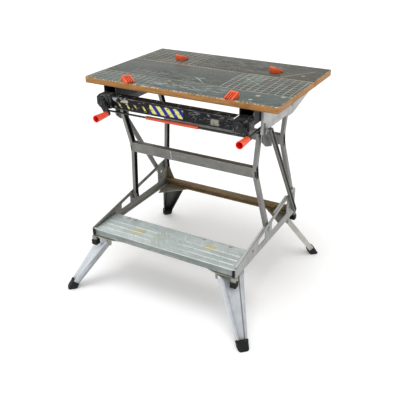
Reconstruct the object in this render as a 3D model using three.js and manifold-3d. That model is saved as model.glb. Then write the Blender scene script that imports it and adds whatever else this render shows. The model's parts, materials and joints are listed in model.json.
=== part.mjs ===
// Folding workbench: a three-board vise top on two folding frames, over a base with a step and flip-down legs
// Millimetres. +X is to the right seen from the front, +Y to the back, +Z up, origin on the floor
import * as THREE from "three";
import { mergeVertices } from "three/addons/utils/BufferGeometryUtils.js";
import Module from "manifold-3d";

const wasm = await Module();
wasm.setup();

// Gaps and walls
const FIT = 0.3; // between pieces that rest on each other
const RUN = 0.5; // round a pin in its hole
const SHEET = 3; // pressed steel
const SIDES = 20; // of a round piece
const FEW_SIDES = 12; // of a thin one
const ROUND_FINE = 3; // corners of folded and pressed pieces
const ROUND = 6;
const ROUND_WIDE = 12;

// Worktop boards
const TOP_HEIGHT = 790;
const BOARD_WIDTH = 740;
const BOARD_THICKNESS = 21;
const BOARD_CORNER = 8;
const BOARD_FRONT = -162;
const FRONT_BOARD_DEPTH = 117;
const MIDDLE_BOARD_DEPTH = 198;
const REAR_BOARD_DEPTH = 197;
const BOARD_SEAM = 1;

// Folding frames: pivots of the front frame, and how far behind and above it the same rear frame stands
const LOWER_PIVOT = { y: -3, z: 270 };
const UPPER_PIVOT_DROP = 131; // below the worktop
const UPPER_PIVOT = { y: -76, z: TOP_HEIGHT - UPPER_PIVOT_DROP };
const REAR_FRAME_SHIFT = 241;
const REAR_FRAME_RISE = 41;
const LEG_X_LOW = 288.5;
const LEG_X_WAIST = 256.5;
const LEG_X_HIGH = 273.5;
const LEG_WIDTH = 13;
const LEG_DEPTH = 21;
const LEG_WALL = 2.5;
const LEG_END_RADIUS = 14;
const WAIST_SHARE = 0.614; // of the way up the leg, from its lower pivot
const CROSSBAR_HEIGHT = 41;
const CROSSBAR_DEPTH = 19;
const LEG_SLOT_WIDTH = 9;
const LEG_SLOT_HEIGHT = 34;
const PIVOT_RADIUS = 6;
const LEG_BOSS = 11; // radius, round the upper pivot
const PIN_HEAD_RADIUS = 9;
const PIN_INNER_RADIUS = 7.5; // of the head inside the leg's channel
const PIN_HEAD = 3;

// Side plates and vise beams
const PLATE_INNER_X = 290;
const PLATE_FRONT = -107;
const PLATE_REAR = 335;
const PLATE_REAR_EDGE = 72; // height of the plate's rear end
const PLATE_LOBE = 21;
const PLATE_ARCH = 11; // of the arch over the front pivot
const REAR_LOBE = 39;
const PLATE_FLANGE = 8;
const PLATE_FLANGE_DROP = 20; // of the turned front edge, below the release pivot
const BEAM_WIDTH = 52;
const BEAM_HEIGHT = 52;
const BEAM_REAR = 345;

// Vise screws, cranks and the front beam
const SCREW_DROP = 60; // below the worktop
const SCREW_Z = TOP_HEIGHT - SCREW_DROP;
const SCREW_RADIUS = 7;
const SCREW_INSET = 8; // of its end, from the beam's rear end
const HOUSING_WIDTH = 58;
const HOUSING_BELOW = 29; // the screw
const HOUSING_ABOVE = 19;
const HOUSING_FRONT = -198;
const HOUSING_BACK = -158;
const HOUSING_CHAMFER = 11;
const DIAL_RADIUS = 18;
const DIAL_THICKNESS = 6;
const CRANK_THICKNESS = 11;
const CRANK_RADIUS = 49;
const CRANK_HUB = 12;
const CRANK_END = 9;
const CRANK_ANGLE_RIGHT = -47; // of the arm, from the right
const CRANK_ANGLE_LEFT = -61;
const HANDLE_LENGTH = 60;
const HANDLE_RADIUS = 10; // at the crank
const HANDLE_MOUTH = 13;
const HANDLE_WALL = 2.4; // at the mouth
const HANDLE_BORE = 7.6; // at its floor
const HANDLE_FLOOR = 13;
const SPINDLE_RADIUS = 4;
const SPINDLE_HEAD = 4;
const SPINDLE_HEAD_RADIUS = 6.2;
const NUT_FRONT = 172;
const NUT_LENGTH = 56;
const NUT_WIDTH = 44;
const FRONT_BEAM_FACE = -190;
const FRONT_BEAM_DEPTH = 38;
const FRONT_BEAM_DROP = 45; // below the worktop
const FRONT_BEAM_HEIGHT = 45;

// Release bar with its latches
const RELEASE_PIVOT_DROP = 98; // below the worktop
const RELEASE_BAR_DROP = 105;
const RELEASE_PIVOT = { y: -84, z: TOP_HEIGHT - RELEASE_PIVOT_DROP };
const RELEASE_BAR = { y: -176, z: TOP_HEIGHT - RELEASE_BAR_DROP };
const RELEASE_ROD_RADIUS = 3.5;
const RELEASE_GRIP_LENGTH = 206;
const RELEASE_GRIP_RADIUS = 6.5;
const LATCH_THICKNESS = 3;
const LATCH_GAP = 1;
const LATCH_WIDTH = 20;
const LATCH_TOE_FRONT = 18; // behind the pivot
const LATCH_TOE_BACK = 70;
const LATCH_TOE_LOW = 75; // below the pivot, at the front
const LATCH_TOE_DROP = 16;
const LATCH_TOE_HEIGHT = 38;

// Diagonal braces
const BRACE_FOOT = { y: 236, z: 246 };
const BRACE_HEAD_DROP = 114; // below the worktop
const BRACE_HEAD = { y: -62, z: TOP_HEIGHT - BRACE_HEAD_DROP };
const BRACE_INNER_X = 305;
const BRACE_DEPTH = 10.5;
const BRACE_WIDTH = 17;
const BRACE_PIN = 4.5;
const BRACE_PIN_HEAD = 6;
const BRACE_WALL = 2;
const BRACE_STUD = 6;

// Base: step, arms and rear stretcher
const ARM_INNER_X = 297;
const ARM_FRONT = -278;
const ARM_REAR = 258;
const BASE_LOW = 218; // underside of the arms and of the stretcher
const ARM_NOSE = 250;
const ARM_TIP = 30; // round the rear pivot
const ARM_FLANGE = 8;
const ARM_RAIL = 22; // below the windows, at the front end
const ARM_RAIL_RISE = 13; // of the rail, from end to end
const ARM_RIM = 15; // above the windows
const PIVOT_WEB = 29; // solid on both sides of the front pivot
const REAR_WEB = 62; // solid in front of the rear pivot
const SMALL_WINDOW = 62;
const ARM_EDGE_FRONT = 12; // from the step's front and back to the turned edges
const ARM_EDGE_CLEAR = 63; // behind the front pivot, so that the leg folds past the turned edge
const STEP_FRONT = -276;
const STEP_BACK = -136;
const STEP_TOP = 247;
const STEP_LIP = 25;
const STEP_RIBS = 3; // on each side of the bare middle
const STEP_RIB_PITCH = 28.5;
const STEP_RIB_WIDTH = 6;
const STEP_RIB_HEIGHT = 2;
const STEP_RIB_SHIFT = 13.5; // of the ribs, forward of the middle
const STEP_RIB_X = [60, 276]; // from end to end
const STEP_HOLE_RADIUS = 4.5;
const STEP_HOLE_INSET = 10;
const STEP_HOLES = [-225, -194, 109, 215];
const CAP_WIDTH = 9;
const CAP_DEPTH = 6;
const CAP_HEIGHT = 24;
const STRETCHER_HEIGHT = 28;
const STRETCHER_DEPTH = 24;
const GUSSET_WIDTH = 31;
const GUSSET_TOP_WIDTH = 7;
const GUSSET_HEIGHT = 54;

// Corners: the hinge under the base, the flip-down leg from its hinge to the boot, and the low foot
const HINGE_INSET = 36; // in from the arm
const HINGE_Y = 242;
const HINGE_Z = 200;
const HINGE_PIN = 4;
const FLIP_LENGTH = 220; // from the hinge to the boot
const FLIP_ABOVE = 9; // above the hinge
const FLIP_TOP_WIDTH = 93;
const FLIP_LOW_WIDTH = 36;
const FLIP_WALL = 2.5;
const FLIP_FACE = 14; // from the hinge out to the face
const FLIP_TOP_FACE = 9; // the same at the top end
const FLIP_SHOULDER = 12; // below the hinge, where the face starts
const FLIP_BACK = 7; // from the hinge in to the flange edges
const PANEL_DEPTH = 4; // of the pressed panel in the face
const PANEL_TOP_WIDTH = 52;
const PANEL_LOW_WIDTH = 14;
const BOOT_HEIGHT = 31.2; // along the leg, down to the floor
const BOOT_LENGTH = 41;
const BOOT_WIDTH = 42;
const BOOT_RIM = 4; // beyond the leg on every side
const BRACKET_BACK = 54; // from the hinge in to the plate's inner edge
const BRACKET_BACK_WIDTH = 160;
const BRACKET_SHOULDER = 4;
const EAR_GAP = 0.8;
const EAR_LOW = 8; // below the hinge
const EAR_REACH = 3; // in front of the hinge
const LOW_FOOT_OUT = 45; // along the diagonal from the hinge
const LOW_FOOT_Z = 180;
const LOW_FOOT_HEIGHT = 21;
const LOW_FOOT_WIDTH = 23;
const STEM_WIDTH = 17;
const BRACKET_TIP = 2; // of the plate, beyond the middle of the low foot

// Swivel pegs
const PEG_RIGHT_X = 205;
const PEG_LEFT_X = -193;
const PEG_FRONT_Y = -146;
const PEG_REAR_Y = 220;
const PEG_SHANK = 9;
const PEG_SHANK_LENGTH = 19;
const PEG_LENGTH = 32;
const PEG_DEPTH = 40;
const PEG_HEIGHT = 21;
const PEG_TOE = 6;
const PEG_CHAMFER = 4;
const PEG_GROOVES = 3;
const PEG_GROOVE = 4;
const PEG_GROOVE_DEPTH = 4.5;

// Finishes
function finish(color, roughness, metalness) {
  return new THREE.MeshStandardMaterial({ color, roughness, metalness });
}

const BOARD_FINISH = finish(0x6e7068, 0.7, 0);
const GREY_STEEL = finish(0x7d7d78, 0.5, 0.7);
const BRIGHT_STEEL = finish(0xc3cdd2, 0.4, 0.8);
const GALVANISED = finish(0xbecdc8, 0.45, 0.7);
const DIRTY_STEEL = finish(0x6e553c, 0.8, 0.3);
const BLACK_PAINT = finish(0x16181c, 0.5, 0.2);
const BLACK_PLASTIC = finish(0x1a1b1d, 0.6, 0);
const RUBBER = finish(0x101012, 0.9, 0);
const ORANGE = finish(0xf05028, 0.5, 0);
const DARK_STEEL = finish(0x4a4a48, 0.5, 0.6);

// Solids from three.js geometry, and joins and cuts of them
function solid(geometry) {
  const bare = geometry.clone();
  bare.deleteAttribute("normal");
  bare.deleteAttribute("uv");
  const merged = mergeVertices(bare);
  return new wasm.Manifold(
    new wasm.Mesh({
      numProp: 3,
      vertProperties: merged.attributes.position.array,
      triVerts: new Uint32Array(merged.index.array),
    }),
  );
}

function geometryOf(body) {
  const mesh = body.getMesh();
  const geometry = new THREE.BufferGeometry();
  geometry.setAttribute("position", new THREE.BufferAttribute(mesh.vertProperties, 3));
  geometry.setIndex(new THREE.BufferAttribute(mesh.triVerts, 1));
  return geometry;
}

const join = (first, ...rest) => geometryOf(rest.reduce((sum, g) => sum.add(solid(g)), solid(first)));
const cut = (first, ...rest) => geometryOf(rest.reduce((sum, g) => sum.subtract(solid(g)), solid(first)));
const common = (first, second) => geometryOf(solid(first).intersect(solid(second)));

function block([x0, x1], [y0, y1], [z0, z1]) {
  const geometry = new THREE.BoxGeometry(Math.abs(x1 - x0), Math.abs(y1 - y0), Math.abs(z1 - z0));
  return geometry.translate((x0 + x1) / 2, (y0 + y1) / 2, (z0 + z1) / 2);
}

function rodX(radius, [x0, x1], y, z, sides = SIDES) {
  const geometry = new THREE.CylinderGeometry(radius, radius, Math.abs(x1 - x0), sides);
  return geometry.rotateZ(Math.PI / 2).translate((x0 + x1) / 2, y, z);
}

function rodY(radius, [y0, y1], x, z, sides = SIDES) {
  return new THREE.CylinderGeometry(radius, radius, Math.abs(y1 - y0), sides).translate(x, (y0 + y1) / 2, z);
}

// The first radius is at y0, the second at y1
function coneY([near, far], [y0, y1], x, z, sides = SIDES) {
  return new THREE.CylinderGeometry(far, near, y1 - y0, sides).translate(x, (y0 + y1) / 2, z);
}

function rodZ(radius, [z0, z1], x, y, sides = SIDES) {
  const geometry = new THREE.CylinderGeometry(radius, radius, Math.abs(z1 - z0), sides);
  return geometry.rotateX(Math.PI / 2).translate(x, y, (z0 + z1) / 2);
}

// An outline whose corners are [a, b, rounding], with the rounding held under half of the shorter side
function outline(corners) {
  const shape = new THREE.Shape();
  corners.forEach(([a, b, rounding = 0], i) => {
    const here = new THREE.Vector2(a, b);
    const toLast = new THREE.Vector2(...corners.at(i - 1).slice(0, 2)).sub(here);
    const toNext = new THREE.Vector2(...corners[(i + 1) % corners.length].slice(0, 2)).sub(here);
    const r = Math.min(rounding, 0.48 * toLast.length(), 0.48 * toNext.length());
    const into = here.clone().add(toLast.setLength(r));
    const out = here.clone().add(toNext.setLength(r));
    if (i === 0) shape.moveTo(into.x, into.y);
    else shape.lineTo(into.x, into.y);
    if (r > 0) shape.quadraticCurveTo(a, b, out.x, out.y);
  });
  shape.closePath();
  return shape;
}

function extruded(shape, depth) {
  return new THREE.ExtrudeGeometry(shape, { depth, bevelEnabled: false, curveSegments: 4 });
}

// Plates: an outline in y and z along X, in x and z along Y, or in x and y along Z
const ACROSS_X = new THREE.Matrix4().makeBasis(
  new THREE.Vector3(0, 1, 0),
  new THREE.Vector3(0, 0, 1),
  new THREE.Vector3(1, 0, 0),
);
const plateX = (shape, [x0, x1]) => extruded(shape, x1 - x0).applyMatrix4(ACROSS_X).translate(x0, 0, 0);
const plateY = (shape, [y0, y1]) => extruded(shape, y1 - y0).rotateX(Math.PI / 2).translate(0, y1, 0);
const plateZ = (shape, [z0, z1]) => extruded(shape, z1 - z0).translate(0, 0, z0);

// A closed skin over rings with the same number of points
function loft(rings) {
  const count = rings[0].length;
  const points = rings.flat();
  const index = [];
  for (let r = 0; r + 1 < rings.length; r += 1) {
    for (let i = 0; i < count; i += 1) {
      const a = r * count + i;
      const b = r * count + ((i + 1) % count);
      index.push(a, b, b + count, a, b + count, a + count);
    }
  }
  const flat = rings[0].map((p) => new THREE.Vector2(p.x, p.y));
  const caps = THREE.ShapeUtils.triangulateShape(flat, []);
  const end = (rings.length - 1) * count;
  caps.forEach(([a, b, c]) => index.push(c, b, a, end + a, end + b, end + c));
  const geometry = new THREE.BufferGeometry().setFromPoints(points);
  geometry.setIndex(index);
  return geometry;
}

// The same piece on the other side: mirrored across x = 0, with its faces still pointing out
function mirrored(geometry) {
  const copy = geometry.index ? geometry.toNonIndexed() : geometry.clone();
  const position = copy.attributes.position;
  for (let i = 0; i < position.count; i += 1) position.setX(i, -position.getX(i));
  const first = new THREE.Vector3();
  const second = new THREE.Vector3();
  for (let i = 0; i < position.count; i += 3) {
    first.fromBufferAttribute(position, i + 1);
    second.fromBufferAttribute(position, i + 2);
    position.setXYZ(i + 1, ...second);
    position.setXYZ(i + 2, ...first);
  }
  copy.deleteAttribute("normal");
  copy.deleteAttribute("uv");
  return mergeVertices(copy);
}

const bench = new THREE.Group();

function place(group, name, geometry, material) {
  const mesh = new THREE.Mesh(geometry, material);
  mesh.name = name;
  group.add(mesh);
}

function placePair(group, name, geometry, material) {
  place(group, `${name}_right`, geometry, material);
  place(group, `${name}_left`, mirrored(geometry), material);
}

// Places worked out from the driving dimensions
const boardUnder = TOP_HEIGHT - BOARD_THICKNESS;
const beamTop = boardUnder - FIT;
const beamLow = beamTop - BEAM_HEIGHT;
const beamX = [PLATE_INNER_X - BEAM_WIDTH, PLATE_INNER_X];
const screwX = PLATE_INNER_X - BEAM_WIDTH / 2;
const plateOuter = PLATE_INNER_X + SHEET;
const armOuter = ARM_INNER_X + SHEET;
const linkLength = Math.hypot(UPPER_PIVOT.y - LOWER_PIVOT.y, UPPER_PIVOT.z - LOWER_PIVOT.z);
const linkLean = Math.atan2(LOWER_PIVOT.y - UPPER_PIVOT.y, UPPER_PIVOT.z - LOWER_PIVOT.z);
const rearLower = { y: LOWER_PIVOT.y + REAR_FRAME_SHIFT, z: LOWER_PIVOT.z + REAR_FRAME_RISE };
const rearUpper = { y: UPPER_PIVOT.y + REAR_FRAME_SHIFT, z: UPPER_PIVOT.z + REAR_FRAME_RISE };

// Boards
function board(y0, y1, pegY) {
  const half = BOARD_WIDTH / 2;
  const front = y0 === BOARD_FRONT ? BOARD_CORNER : 0;
  const back = pegY === PEG_REAR_Y ? BOARD_CORNER : 0;
  const shape = outline([
    [-half, y0, front],
    [half, y0, front],
    [half, y1, back],
    [-half, y1, back],
  ]);
  const sheet = plateZ(shape, [boardUnder, TOP_HEIGHT]);
  const holes = pegs.filter((peg) => peg.y === pegY);
  const bore = (peg) => rodZ(PEG_SHANK + RUN, [boardUnder - 1, TOP_HEIGHT + 1], peg.x, peg.y);
  return holes.length ? cut(sheet, ...holes.map(bore)) : sheet;
}

const pegs = [
  { name: "front_peg_right", x: PEG_RIGHT_X, y: PEG_FRONT_Y, turn: -8 },
  { name: "front_peg_left", x: PEG_LEFT_X, y: PEG_FRONT_Y, turn: 63 },
  { name: "rear_peg_right", x: PEG_RIGHT_X, y: PEG_REAR_Y, turn: 150 },
  { name: "rear_peg_left", x: PEG_LEFT_X, y: PEG_REAR_Y, turn: 168 },
];
const middleFront = BOARD_FRONT + FRONT_BOARD_DEPTH + BOARD_SEAM;
const rearFront = middleFront + MIDDLE_BOARD_DEPTH + BOARD_SEAM;
place(bench, "front_board", board(BOARD_FRONT, BOARD_FRONT + FRONT_BOARD_DEPTH, PEG_FRONT_Y), BOARD_FINISH);
place(bench, "middle_board", board(middleFront, middleFront + MIDDLE_BOARD_DEPTH, null), BOARD_FINISH);
place(bench, "rear_board", board(rearFront, rearFront + REAR_BOARD_DEPTH, PEG_REAR_Y), BOARD_FINISH);

// Swivel pegs: a ribbed wedge on a round shank
function pegShape() {
  const half = PEG_DEPTH / 2;
  const side = outline([
    [-half, 0],
    [half, 0],
    [half, PEG_HEIGHT - PEG_CHAMFER],
    [half - PEG_CHAMFER, PEG_HEIGHT],
    [-half, PEG_TOE],
  ]);
  const head = plateX(side, [-PEG_LENGTH / 2, PEG_LENGTH / 2]);
  const slope = Math.atan2(PEG_HEIGHT - PEG_TOE, PEG_DEPTH - PEG_CHAMFER);
  const pitch = PEG_LENGTH / (PEG_GROOVES + 1);
  const groove = (i) => {
    const x = (i - (PEG_GROOVES - 1) / 2) * pitch;
    const across = [x - PEG_GROOVE / 2, x + PEG_GROOVE / 2];
    const slot = block(across, [-PEG_TOE, PEG_DEPTH * 0.8], [-PEG_GROOVE_DEPTH, PEG_TOE]);
    return slot.rotateX(slope).translate(0, -half, PEG_TOE);
  };
  const shank = rodZ(PEG_SHANK, [-PEG_SHANK_LENGTH, 1], 0, 0);
  return join(cut(head, ...Array.from({ length: PEG_GROOVES }, (_, i) => groove(i))), shank);
}

const pegGeometry = pegShape();
pegs.forEach((peg) => {
  const spot = new THREE.Group();
  spot.position.set(peg.x, peg.y, TOP_HEIGHT + FIT);
  spot.rotation.z = THREE.MathUtils.degToRad(peg.turn);
  place(spot, peg.name, pegGeometry, ORANGE);
  bench.add(spot);
});

// Vise beams: channels open at the top, where the nuts of the rear jaw run
const beamOuter = block(beamX, [HOUSING_BACK, BEAM_REAR], [beamLow, beamTop]);
const beamTrough = block(
  [beamX[0] + SHEET, beamX[1] - SHEET],
  [HOUSING_BACK - 1, BEAM_REAR + 1],
  [beamLow + SHEET, beamTop + 1],
);
placePair(bench, "vise_beam", cut(beamOuter, beamTrough), BLACK_PAINT);

// Side plates: a lobe at each pivot, an arch between, a turned front edge and a stud for the brace
const lobeLow = UPPER_PIVOT.z - PLATE_LOBE;
const rearLobeLow = rearUpper.z - REAR_LOBE;
const archZ = UPPER_PIVOT.z + PLATE_ARCH;
const plateShape = outline([
  [PLATE_FRONT, beamTop],
  [UPPER_PIVOT.y - PLATE_LOBE, UPPER_PIVOT.z, ROUND_WIDE],
  [UPPER_PIVOT.y - PLATE_LOBE, lobeLow, PLATE_LOBE * 0.9],
  [UPPER_PIVOT.y + PLATE_LOBE, lobeLow, PLATE_LOBE * 0.9],
  [UPPER_PIVOT.y + PLATE_LOBE + SHEET, archZ, ROUND],
  [rearUpper.y - REAR_LOBE, archZ, ROUND_WIDE],
  [rearUpper.y - PLATE_LOBE, rearLobeLow, ROUND],
  [rearUpper.y + PLATE_LOBE, rearLobeLow, ROUND_WIDE],
  [PLATE_REAR, beamTop - PLATE_REAR_EDGE, ROUND],
  [PLATE_REAR, beamTop],
]);
const flangeBack = PLATE_FRONT + SHEET;
const plateFlange = block(
  [plateOuter - 1, plateOuter + PLATE_FLANGE],
  [PLATE_FRONT, flangeBack],
  [RELEASE_PIVOT.z - PLATE_FLANGE_DROP, beamTop],
);
const plateHole = ({ y, z }, radius) => rodX(radius + RUN, [PLATE_INNER_X - 1, plateOuter + 1], y, z);
const sidePlate = cut(
  plateX(plateShape, [PLATE_INNER_X, plateOuter]),
  plateHole(UPPER_PIVOT, PIVOT_RADIUS),
  plateHole(rearUpper, PIVOT_RADIUS),
  plateHole(RELEASE_PIVOT, RELEASE_ROD_RADIUS),
);
const braceStud = rodX(BRACE_STUD, [plateOuter - 1, BRACE_INNER_X - FIT], BRACE_HEAD.y, BRACE_HEAD.z);
placePair(bench, "side_plate", join(sidePlate, plateFlange, braceStud), GREY_STEEL);

// Crank housings and the front beam between them
const housingX = [screwX - HOUSING_WIDTH / 2, screwX + HOUSING_WIDTH / 2];
const housingZ = [SCREW_Z - HOUSING_BELOW, SCREW_Z + HOUSING_ABOVE];
const housingShape = outline([
  [housingX[0], housingZ[0]],
  [housingX[1] - HOUSING_CHAMFER, housingZ[0]],
  [housingX[1], housingZ[0] + HOUSING_CHAMFER],
  [housingX[1], housingZ[1] - HOUSING_CHAMFER],
  [housingX[1] - HOUSING_CHAMFER, housingZ[1]],
  [housingX[0] + HOUSING_CHAMFER, housingZ[1]],
  [housingX[0], housingZ[1] - HOUSING_CHAMFER],
]);
const dialFront = HOUSING_FRONT - DIAL_THICKNESS;
const housing = cut(
  join(
    plateY(housingShape, [HOUSING_FRONT, HOUSING_BACK]),
    rodY(DIAL_RADIUS, [dialFront, HOUSING_FRONT + 1], screwX, SCREW_Z),
  ),
  rodY(SCREW_RADIUS + RUN, [dialFront - 1, HOUSING_BACK + 1], screwX, SCREW_Z),
);
placePair(bench, "crank_housing", housing, BLACK_PLASTIC);

const frontBeamBack = FRONT_BEAM_FACE + FRONT_BEAM_DEPTH;
const frontBeamX = [-housingX[0], housingX[0]];
const frontBeamHigh = TOP_HEIGHT - FRONT_BEAM_DROP;
const frontBeamLow = frontBeamHigh - FRONT_BEAM_HEIGHT;
const frontBeam = cut(
  plateX(
    outline([
      [FRONT_BEAM_FACE, frontBeamLow, ROUND],
      [frontBeamBack, frontBeamLow],
      [frontBeamBack, frontBeamHigh],
      [FRONT_BEAM_FACE, frontBeamHigh, ROUND],
    ]),
    frontBeamX,
  ),
  block(
    [frontBeamX[0] - 1, frontBeamX[1] + 1],
    [FRONT_BEAM_FACE + SHEET, frontBeamBack + 1],
    [frontBeamLow + SHEET, frontBeamHigh - SHEET],
  ),
);
place(bench, "front_beam", frontBeam, BLACK_PAINT);

// Vise screws, cranks and handles
const armBack = dialFront - RUN;
const armFront = armBack - CRANK_THICKNESS;
const handleBack = armFront - RUN;
const handleFront = handleBack - HANDLE_LENGTH;
const boreBack = handleBack - HANDLE_FLOOR;
const screw = rodY(SCREW_RADIUS, [armBack, BEAM_REAR - SCREW_INSET], 0, 0);

// A flat arm with a round hub at the origin and a smaller round end
function armShape() {
  const shape = new THREE.Shape();
  const swing = Math.acos((CRANK_HUB - CRANK_END) / CRANK_RADIUS);
  shape.absarc(0, 0, CRANK_HUB, swing, 2 * Math.PI - swing, false);
  shape.absarc(CRANK_RADIUS, 0, CRANK_END, -swing, swing, false);
  shape.closePath();
  return shape;
}

const crankArm = join(
  plateY(armShape(), [armFront, armBack]),
  rodY(SPINDLE_RADIUS, [boreBack - 1, armFront + 1], CRANK_RADIUS, 0, FEW_SIDES),
  rodY(SPINDLE_HEAD_RADIUS, [boreBack - RUN - SPINDLE_HEAD, boreBack - RUN], CRANK_RADIUS, 0, FEW_SIDES),
);
const handle = cut(
  coneY([HANDLE_MOUTH, HANDLE_RADIUS], [handleFront, handleBack], CRANK_RADIUS, 0),
  coneY([HANDLE_MOUTH - HANDLE_WALL, HANDLE_BORE], [handleFront - 1, boreBack], CRANK_RADIUS, 0),
  rodY(SPINDLE_RADIUS + RUN, [boreBack - 1, handleBack + 1], CRANK_RADIUS, 0, FEW_SIDES),
);
const cranks = [
  { side: "right", x: screwX, angle: CRANK_ANGLE_RIGHT },
  { side: "left", x: -screwX, angle: CRANK_ANGLE_LEFT },
];
cranks.forEach(({ side, x, angle }) => {
  const axis = new THREE.Group();
  axis.position.set(x, 0, SCREW_Z);
  axis.rotation.y = -THREE.MathUtils.degToRad(angle);
  place(axis, `vise_screw_${side}`, screw, BRIGHT_STEEL);
  place(axis, `crank_arm_${side}`, crankArm, BLACK_PLASTIC);
  place(axis, `crank_handle_${side}`, handle, ORANGE);
  bench.add(axis);
});

// Nut blocks that carry the rear board along the beams
const nut = cut(
  block(
    [screwX - NUT_WIDTH / 2, screwX + NUT_WIDTH / 2],
    [NUT_FRONT, NUT_FRONT + NUT_LENGTH],
    [beamLow + SHEET + FIT, boardUnder],
  ),
  rodY(SCREW_RADIUS + RUN, [NUT_FRONT - 1, NUT_FRONT + NUT_LENGTH + 1], screwX, SCREW_Z),
);
placePair(bench, "jaw_nut", nut, BLACK_PLASTIC);

// Release bar: a bent rod pivoted in the side plates, with a latch plate at each end and a grip sleeve
const latchX = [plateOuter + LATCH_GAP, plateOuter + LATCH_GAP + LATCH_THICKNESS];
const bailX = PLATE_INNER_X - RELEASE_ROD_RADIUS - RUN;
const latchFront = RELEASE_PIVOT.y - LATCH_WIDTH / 2;
const latchBack = RELEASE_PIVOT.y + LATCH_WIDTH / 2;
const latchTop = RELEASE_PIVOT.z + LATCH_WIDTH / 2;
const toeLow = RELEASE_PIVOT.z - LATCH_TOE_LOW;
const toeHigh = toeLow - LATCH_TOE_DROP + LATCH_TOE_HEIGHT;
const latchShape = outline([
  [latchFront, latchTop, ROUND],
  [latchFront, toeHigh, ROUND],
  [RELEASE_PIVOT.y + LATCH_TOE_FRONT, toeLow, ROUND_FINE],
  [RELEASE_PIVOT.y + LATCH_TOE_BACK, toeLow - LATCH_TOE_DROP, ROUND_FINE],
  [RELEASE_PIVOT.y + LATCH_TOE_BACK, toeHigh, ROUND_FINE],
  [latchBack, toeHigh + LATCH_WIDTH, ROUND_FINE],
  [latchBack, latchTop, ROUND],
]);

// Straight round bars from point to point, with a ball at each bend
function bentRod(points, radius) {
  const pieces = [];
  points.forEach((here, i) => {
    if (i > 0) {
      const span = here.clone().sub(points[i - 1]);
      const bar = new THREE.CylinderGeometry(radius, radius, span.length(), FEW_SIDES);
      const along = span.clone().normalize();
      const turn = new THREE.Quaternion().setFromUnitVectors(new THREE.Vector3(0, 1, 0), along);
      const middle = here.clone().add(points[i - 1]).multiplyScalar(0.5);
      pieces.push(bar.applyQuaternion(turn).translate(...middle));
    }
    if (i > 0 && i + 1 < points.length) {
      pieces.push(new THREE.SphereGeometry(radius * 1.02, FEW_SIDES, FEW_SIDES / 2).translate(...here));
    }
  });
  return join(...pieces);
}

const releasePath = (side) => [
  new THREE.Vector3(side * bailX, RELEASE_PIVOT.y, RELEASE_PIVOT.z),
  new THREE.Vector3(side * bailX, RELEASE_BAR.y, RELEASE_BAR.z),
];
const releaseEnd = (side) => new THREE.Vector3(side * latchX[1], RELEASE_PIVOT.y, RELEASE_PIVOT.z);
const releaseRod = join(
  bentRod(
    [releaseEnd(-1), ...releasePath(-1), ...releasePath(1).reverse(), releaseEnd(1)],
    RELEASE_ROD_RADIUS,
  ),
  plateX(latchShape, latchX),
  mirrored(plateX(latchShape, latchX)),
);
place(bench, "release_rod", releaseRod, DARK_STEEL);
const gripX = [-RELEASE_GRIP_LENGTH / 2, RELEASE_GRIP_LENGTH / 2];
const releaseGrip = cut(
  rodX(RELEASE_GRIP_RADIUS, gripX, RELEASE_BAR.y, RELEASE_BAR.z),
  rodX(RELEASE_ROD_RADIUS + FIT, [gripX[0] - 1, gripX[1] + 1], RELEASE_BAR.y, RELEASE_BAR.z),
);
place(bench, "release_grip", releaseGrip, ORANGE);

// A folding frame in its own upright place: lower pivot at the origin, upper pivot straight above it
const waistUp = linkLength * WAIST_SHARE;
const barLow = waistUp - CROSSBAR_HEIGHT / 2;
const barHigh = waistUp + CROSSBAR_HEIGHT / 2;
const legFront = -LEG_DEPTH / 2;
const legBack = LEG_DEPTH / 2;

function legOutline(inner, outer, low, high) {
  const bendLow = LEG_END_RADIUS;
  const bendHigh = linkLength - LEG_END_RADIUS;
  return outline([
    [LEG_X_LOW + inner, low],
    [LEG_X_LOW + outer, low],
    [LEG_X_LOW + outer, bendLow],
    [LEG_X_WAIST + outer, barLow, ROUND_WIDE],
    [LEG_X_WAIST + outer, barHigh, ROUND_WIDE],
    [LEG_X_HIGH + outer, bendHigh],
    [LEG_X_HIGH + outer, high],
    [LEG_X_HIGH + inner, high],
    [LEG_X_HIGH + inner, bendHigh],
    [LEG_X_WAIST + inner, barHigh, ROUND_WIDE],
    [LEG_X_WAIST + inner, barLow, ROUND_WIDE],
    [LEG_X_LOW + inner, bendLow],
  ]);
}

function frameLeg() {
  const half = LEG_WIDTH / 2;
  const low = -LEG_END_RADIUS;
  const high = linkLength + LEG_END_RADIUS;
  const bar = plateY(legOutline(-half, half, low, high), [legFront, legBack]);
  const hollow = plateY(
    legOutline(-half - 1, half - LEG_WALL, low - 1, high + 1),
    [legFront + LEG_WALL, legBack - LEG_WALL],
  );
  const roundEnds = outline([
    [legFront - 1, low, LEG_END_RADIUS * 0.9],
    [legBack + 1, low, LEG_END_RADIUS * 0.9],
    [legBack + 1, high, LEG_END_RADIUS * 0.9],
    [legFront - 1, high, LEG_END_RADIUS * 0.9],
  ]);
  const reach = [LEG_X_WAIST - LEG_WIDTH * 2, LEG_X_LOW + LEG_WIDTH * 2];
  const slotX = [LEG_X_WAIST, LEG_X_WAIST + LEG_WIDTH];
  const slotZ = [waistUp - LEG_SLOT_HEIGHT / 2, waistUp + LEG_SLOT_HEIGHT / 2];
  const slot = block(slotX, [-LEG_SLOT_WIDTH / 2, LEG_SLOT_WIDTH / 2], slotZ);
  const pinHole = rodX(PIVOT_RADIUS + RUN, reach, 0, 0);
  const channel = cut(common(bar, plateX(roundEnds, reach)), hollow, slot, pinHole);
  const bossIn = LEG_X_HIGH + half - LEG_WALL;
  const boss = rodX(LEG_BOSS, [bossIn, PLATE_INNER_X - FIT], 0, linkLength);
  const stub = rodX(PIVOT_RADIUS, [PLATE_INNER_X - 1, plateOuter], 0, linkLength);
  return join(channel, boss, stub);
}

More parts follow.
